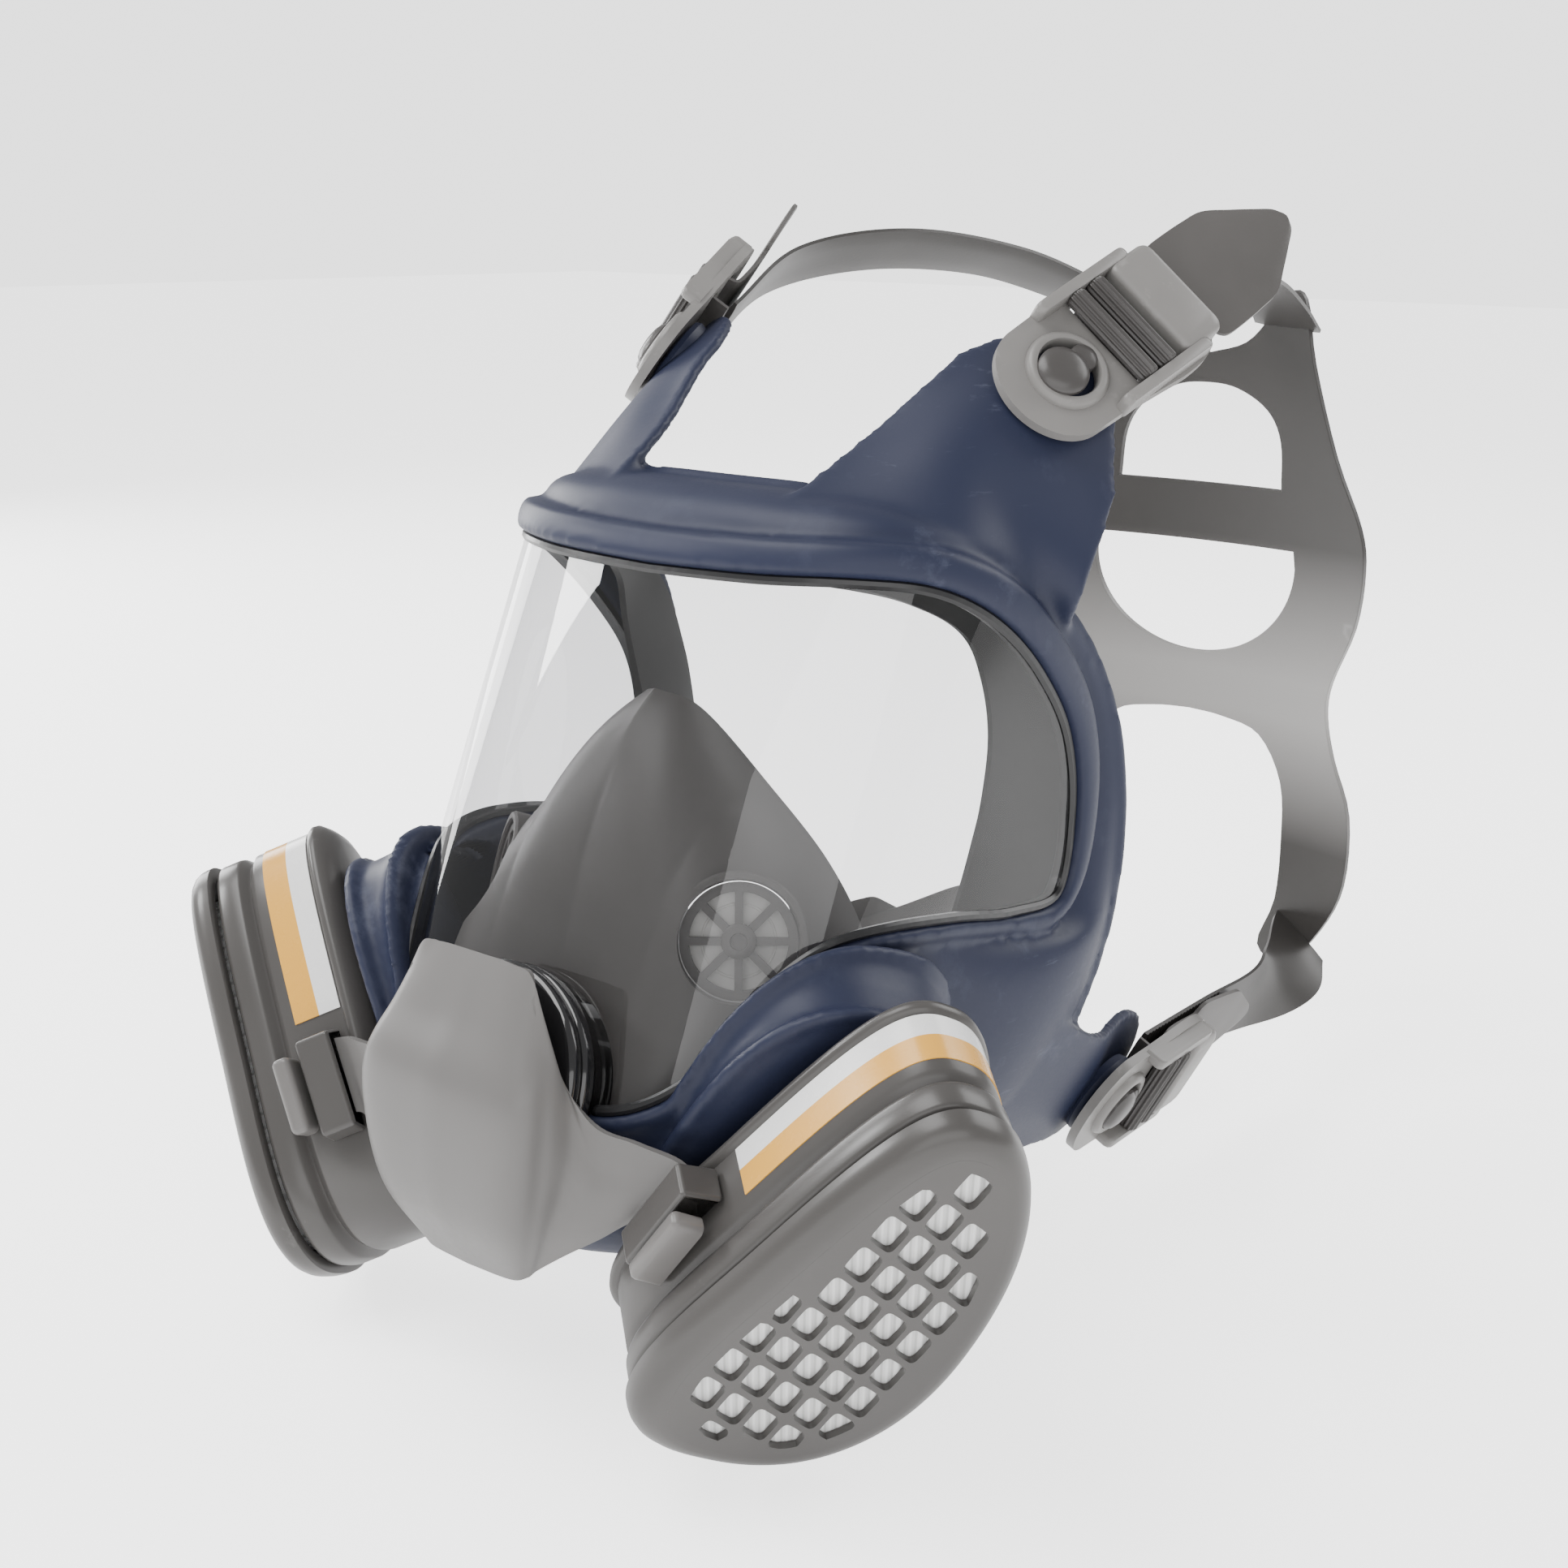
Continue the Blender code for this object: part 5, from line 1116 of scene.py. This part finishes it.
buckle_plastic.feed("Roughness", 0.34 + buckle_rubs * 0.3)
buckle_plastic.bump(buckle_plastic.noise(1200, 2), 0.2, 0.05)
roller_plastic = canister_finish("roller_plastic", (0.062, 0.058, 0.056))
stud_rubber = canister_finish("stud_rubber", (0.062, 0.058, 0.056))
BUCKLE_PLACES = (("upper", in_upper), ("lower", in_lower))
for level_name, place in BUCKLE_PLACES:
    for side, flip in SIDES:
        fastener = f"{level_name}_fastener_{side}"
        stud = make(
            f"{level_name}_stud_head_{side}",
            flip(turned(stud_profile, place)),
            flip(turned(lobe_profile, moved(place, (8.0, 0, 0)))),
        )
        wear(stud, "facepiece", "grey_rubber", stud_rubber, f"{level_name}_stud_{side}")
        pad = make(f"{level_name}_stud_pad_{side}", flip(turned(pad_profile, place)))
        wear(pad, "facepiece", "blue_rubber", blue_rubber)
        plate_piece = make(f"{level_name}_buckle_plate_{side}", *map(flip, buckle_bodies(place)), sharp=40)
        wear(plate_piece, fastener, "buckle_plastic", buckle_plastic, f"{level_name}_buckle_{side}")
        rollers = [flip(roller(place, along, 8.4)) for along in (18.4, 25.6)]
        roller_piece = make(f"{level_name}_rollers_{side}", *rollers, sharp=60)
        wear(roller_piece, fastener, "buckle_plastic", roller_plastic)


# ---------------------------------------------------------------- strap tails
# The free end of each rubber strap: it comes up through the buckle, round the bar and back, narrows
# to a neck, and spreads into a five-sided pull tab with a round tip.

STRAP_HALF = 0.85
TAIL_STATIONS = [
    # along, out, half width
    (19.0, -2.6, 12.0), (19.0, 2.5, 12.0), (19.8, 5.0, 12.0), (22.0, 5.9, 12.0), (27.0, 5.9, 12.0),
    (29.4, 5.0, 12.0), (30.4, 2.5, 12.0), (32.0, 0.4, 12.0), (38.0, 0.0, 12.0), (45.0, 0.1, 11.6),
    (49.5, 0.4, 12.0), (51.0, 0.5, 14.6), (53.0, 0.7, 16.0), (58.0, 1.2, 16.2), (66.0, 2.0, 15.9),
    (73.0, 2.7, 15.0), (80.0, 3.3, 10.8), (86.0, 3.9, 6.8), (90.0, 4.2, 4.0),
    (91.6, 4.35, 1.6), (92.0, 4.4, 0.3),
]


def ribbon(middle, sideways, half, low, high, across_count=13):
    """A flat strap: a line, the direction and half width across it, and how far its two faces stand off."""
    share = np.linspace(-1, 1, across_count)
    grid = middle[:, None] + share[None, :, None] * (half * sideways)[:, None]
    normals = grid_normals(grid)
    edge = (1 - 0.35 * np.abs(share) ** 10)[None, :, None]
    return sheet(grid + high * edge * normals, grid - low * edge * normals)


def strap_tail(place):
    """The tail as a ribbon along its stations."""
    path = spline(TAIL_STATIONS, 6)
    path[:, 2] = np.maximum(path[:, 2], 0.2)
    flat = np.stack([path[:, 0], 0 * path[:, 0], path[:, 1]], 1)
    sideways = np.broadcast_to(place((0, 1, 0)) - place((0, 0, 0)), flat.shape)
    return ribbon(place(flat), sideways, path[:, 2:], STRAP_HALF, STRAP_HALF)


strap_rubber = Finish("strap_rubber", (0.125, 0.118, 0.112), 0.42)
strap_rubber.mottle(strap_rubber.noise(30, 3), (0.062, 0.058, 0.055), (0.10, 0.094, 0.090), 0.36, 0.16)
strap_rubber.bump(strap_rubber.noise(900, 3), 0.3, 0.08)
for level_name, place in BUCKLE_PLACES:
    for side, flip in SIDES:
        tail = make(f"{level_name}_tail_{side}", flip(strap_tail(place)), sharp=60)
        nodes = f"{level_name}_strap_tail_{side}"
        wear(tail, f"{level_name}_fastener_{side}", "harness_rubber", strap_rubber, nodes)


# ---------------------------------------------------------------- head harness
# One flat moulding of dark elastic rubber: a waisted back plate with an arched opening over a wide
# bar, and four straps. The lower straps carry fine teeth where the buckle grips them.

HARNESS_CURVE = 420.0
HARNESS_REACH = 222.0
HARNESS_THICKNESS = 2.6
TOOTH_PITCH = 2.2
HARNESS_HALF = [(0, 108), (14, 112), (23, 121), (29, 129), (36, 127), (41, 106), (52, 77), (64, 55)]
HARNESS_HALF += [(67, 41), (65, 22), (57, 2), (56, -10), (60, -24), (68, -42), (68, -66), (60, -84)]
HARNESS_HALF += [(46, -100), (34, -96), (40, -78), (41, -56), (39, -36), (29, -21), (14, -17), (0, -16)]
edge_curve = spline(HARNESS_HALF, 4)
harness_outline = np.concatenate([edge_curve, edge_curve[-2:0:-1] * np.array([-1.0, 1.0])])
arch = [(31.5, 64), (30, 80), (24, 90), (12, 96.5), (0, 98)]
arch = spline(arch + [(-x, z) for x, z in arch[-2::-1]], 5)
bowl = np.linspace(0, -pi, 49)
bowl = np.concatenate([[(38, 44)], np.stack([39 * np.cos(bowl), 38 + 33 * np.sin(bowl)], 1), [(-38, 44)]])
lattice = np.stack(np.meshgrid(np.arange(-64, 65, 4.0), np.arange(-96, 134, 4.0)), -1).reshape(-1, 2)
borders = np.concatenate([harness_outline, arch, bowl])
gap = np.linalg.norm(lattice[:, None] - borders[None], axis=2).min(axis=1)
lattice = lattice[polygon_inside(harness_outline, lattice) & (gap > 2)]
in_harness = placed((0, 0, 0), (1, 0, 0), (0, 0, 1), (0, -1, 0))


def harness_back(flat):
    """The back face's depth: a shallow curve, the square of the distance from the middle."""
    return flat[:, 0] ** 2 / HARNESS_CURVE - HARNESS_REACH


def harness_front(flat):
    """The front face's depth, nearer the wearer by the plate's thickness."""
    return harness_back(flat) + HARNESS_THICKNESS


def harness_strap(line, across, widths, teeth=0.0):
    """One strap of the harness, with teeth of a height along its last third."""
    middle = spline(line, 60)
    sideways = spline([unit(direction) for direction in across], 60)
    sideways /= np.linalg.norm(sideways, axis=1, keepdims=True)
    step = np.linalg.norm(np.diff(middle, axis=0), axis=1)
    length = np.concatenate([[0], np.cumsum(step)])[:, None, None]
    toothed = length > length.max() * 0.6
    ridge = STRAP_HALF + teeth * toothed * np.maximum(0, np.sin(length * 2 * pi / TOOTH_PITCH))
    return ribbon(middle, sideways, spline([[width] for width in widths], 60), STRAP_HALF, ridge, 7)


upper_end, upper_side = in_upper((24.0, 0.0, -3.2)), unit(in_upper((0, 1, 0)) - in_upper((0, 0, 0)))
lower_end, lower_side = in_lower((24.0, 0.0, -3.2)), unit(in_lower((0, 1, 0)) - in_lower((0, 0, 0)))
upper_strap = harness_strap(
    [(29, 219, 118), (36, 196, 127), (47, 160, 138), (61, 118, 142), (73, 80, 136), upper_end],
    [(-1, 0, 0.1), (-1, 0.1, 0.15), (-0.9, 0.1, 0.35), (-0.8, 0, 0.55), (-0.75, -0.1, 0.65), upper_side],
    (12, 11.5, 11, 11, 11, 11),
)
lower_strap = harness_strap(
    [(52, 213, -88), (60, 190, -93), (60.5, 160, -94), (59.5, 125, -93), lower_end],
    [(-0.9, 0.3, 0.5), (-0.6, -0.3, 0.8), (0.2, 0, 1), (0.4, 0, 0.9), lower_side],
    (13, 12, 11, 11, 11),
    0.5,
)
harness_plate = plate(harness_outline, [arch, bowl], harness_front, harness_back, in_harness, [lattice])
harness_edges = make("harness_plate", harness_plate)
rounded(harness_edges, 0.9, 3)
harness_straps = make("harness_straps", *both(upper_strap), *both(lower_strap), sharp=70)
harness_rubber = Finish("harness_rubber", (0.085, 0.080, 0.076), 0.36)
harness_cloud = harness_rubber.noise(12, 3)
harness_tone = harness_rubber.blend(harness_cloud, (0.034, 0.0315, 0.0295), (0.052, 0.0485, 0.046))
# Painted sheen: a lighter band, set by height, across the plate's lower bar stands in for a highlight; the
# rubber's own colour is the darker clouded tone.
rise = harness_rubber.along((0, 0, 1)) * 6.0 + 0.5
painted_sheen_band = harness_rubber.steps(rise, (0.16, 0.0), (0.42, 0.85), (0.50, 0.85), (0.78, 0.0))
harness_rubber.feed("Base Color", harness_rubber.blend(painted_sheen_band, harness_tone, (0.38, 0.37, 0.36)))
harness_rubber.feed("Roughness", 0.30 + harness_cloud * 0.18)
harness_rubber.bump(harness_rubber.noise(800, 3), 0.25, 0.08)
wear(harness_edges, "facepiece", "harness_rubber", harness_rubber, "head_harness")
wear(harness_straps, "facepiece", "harness_rubber", harness_rubber)


# ---------------------------------------------------------------- floor
# A plain pale floor just under the filters. It looks as bright as the room round it, and throws less
# light than that on the mask.

reach = 6.0
ground = cad_box[0][2] - 0.004
floor_mesh = bpy.data.meshes.new("floor")
corners = [(x, y, ground) for x, y in ((-reach, -reach), (reach, -reach), (reach, reach), (-reach, reach))]
floor_mesh.from_pydata(corners, [], [(0, 1, 2, 3)])
floor = bpy.data.objects.new("floor", floor_mesh)
scene.collection.objects.link(floor)
paper_floor = Finish("paper_floor", (0.93, 0.93, 0.93), 0.9, emission_color=(1.0, 1.0, 1.0, 1.0))
paper_floor.shader.inputs["Emission Strength"].default_value = 2.2
seen = paper_floor.add("ShaderNodeLightPath", {}, {}, "Is Camera Ray")
paper_floor.feed("Emission Color", paper_floor.blend(seen, (0.36, 0.36, 0.36), (1.0, 1.0, 1.0)))
floor.data.materials.append(paper_floor.material)
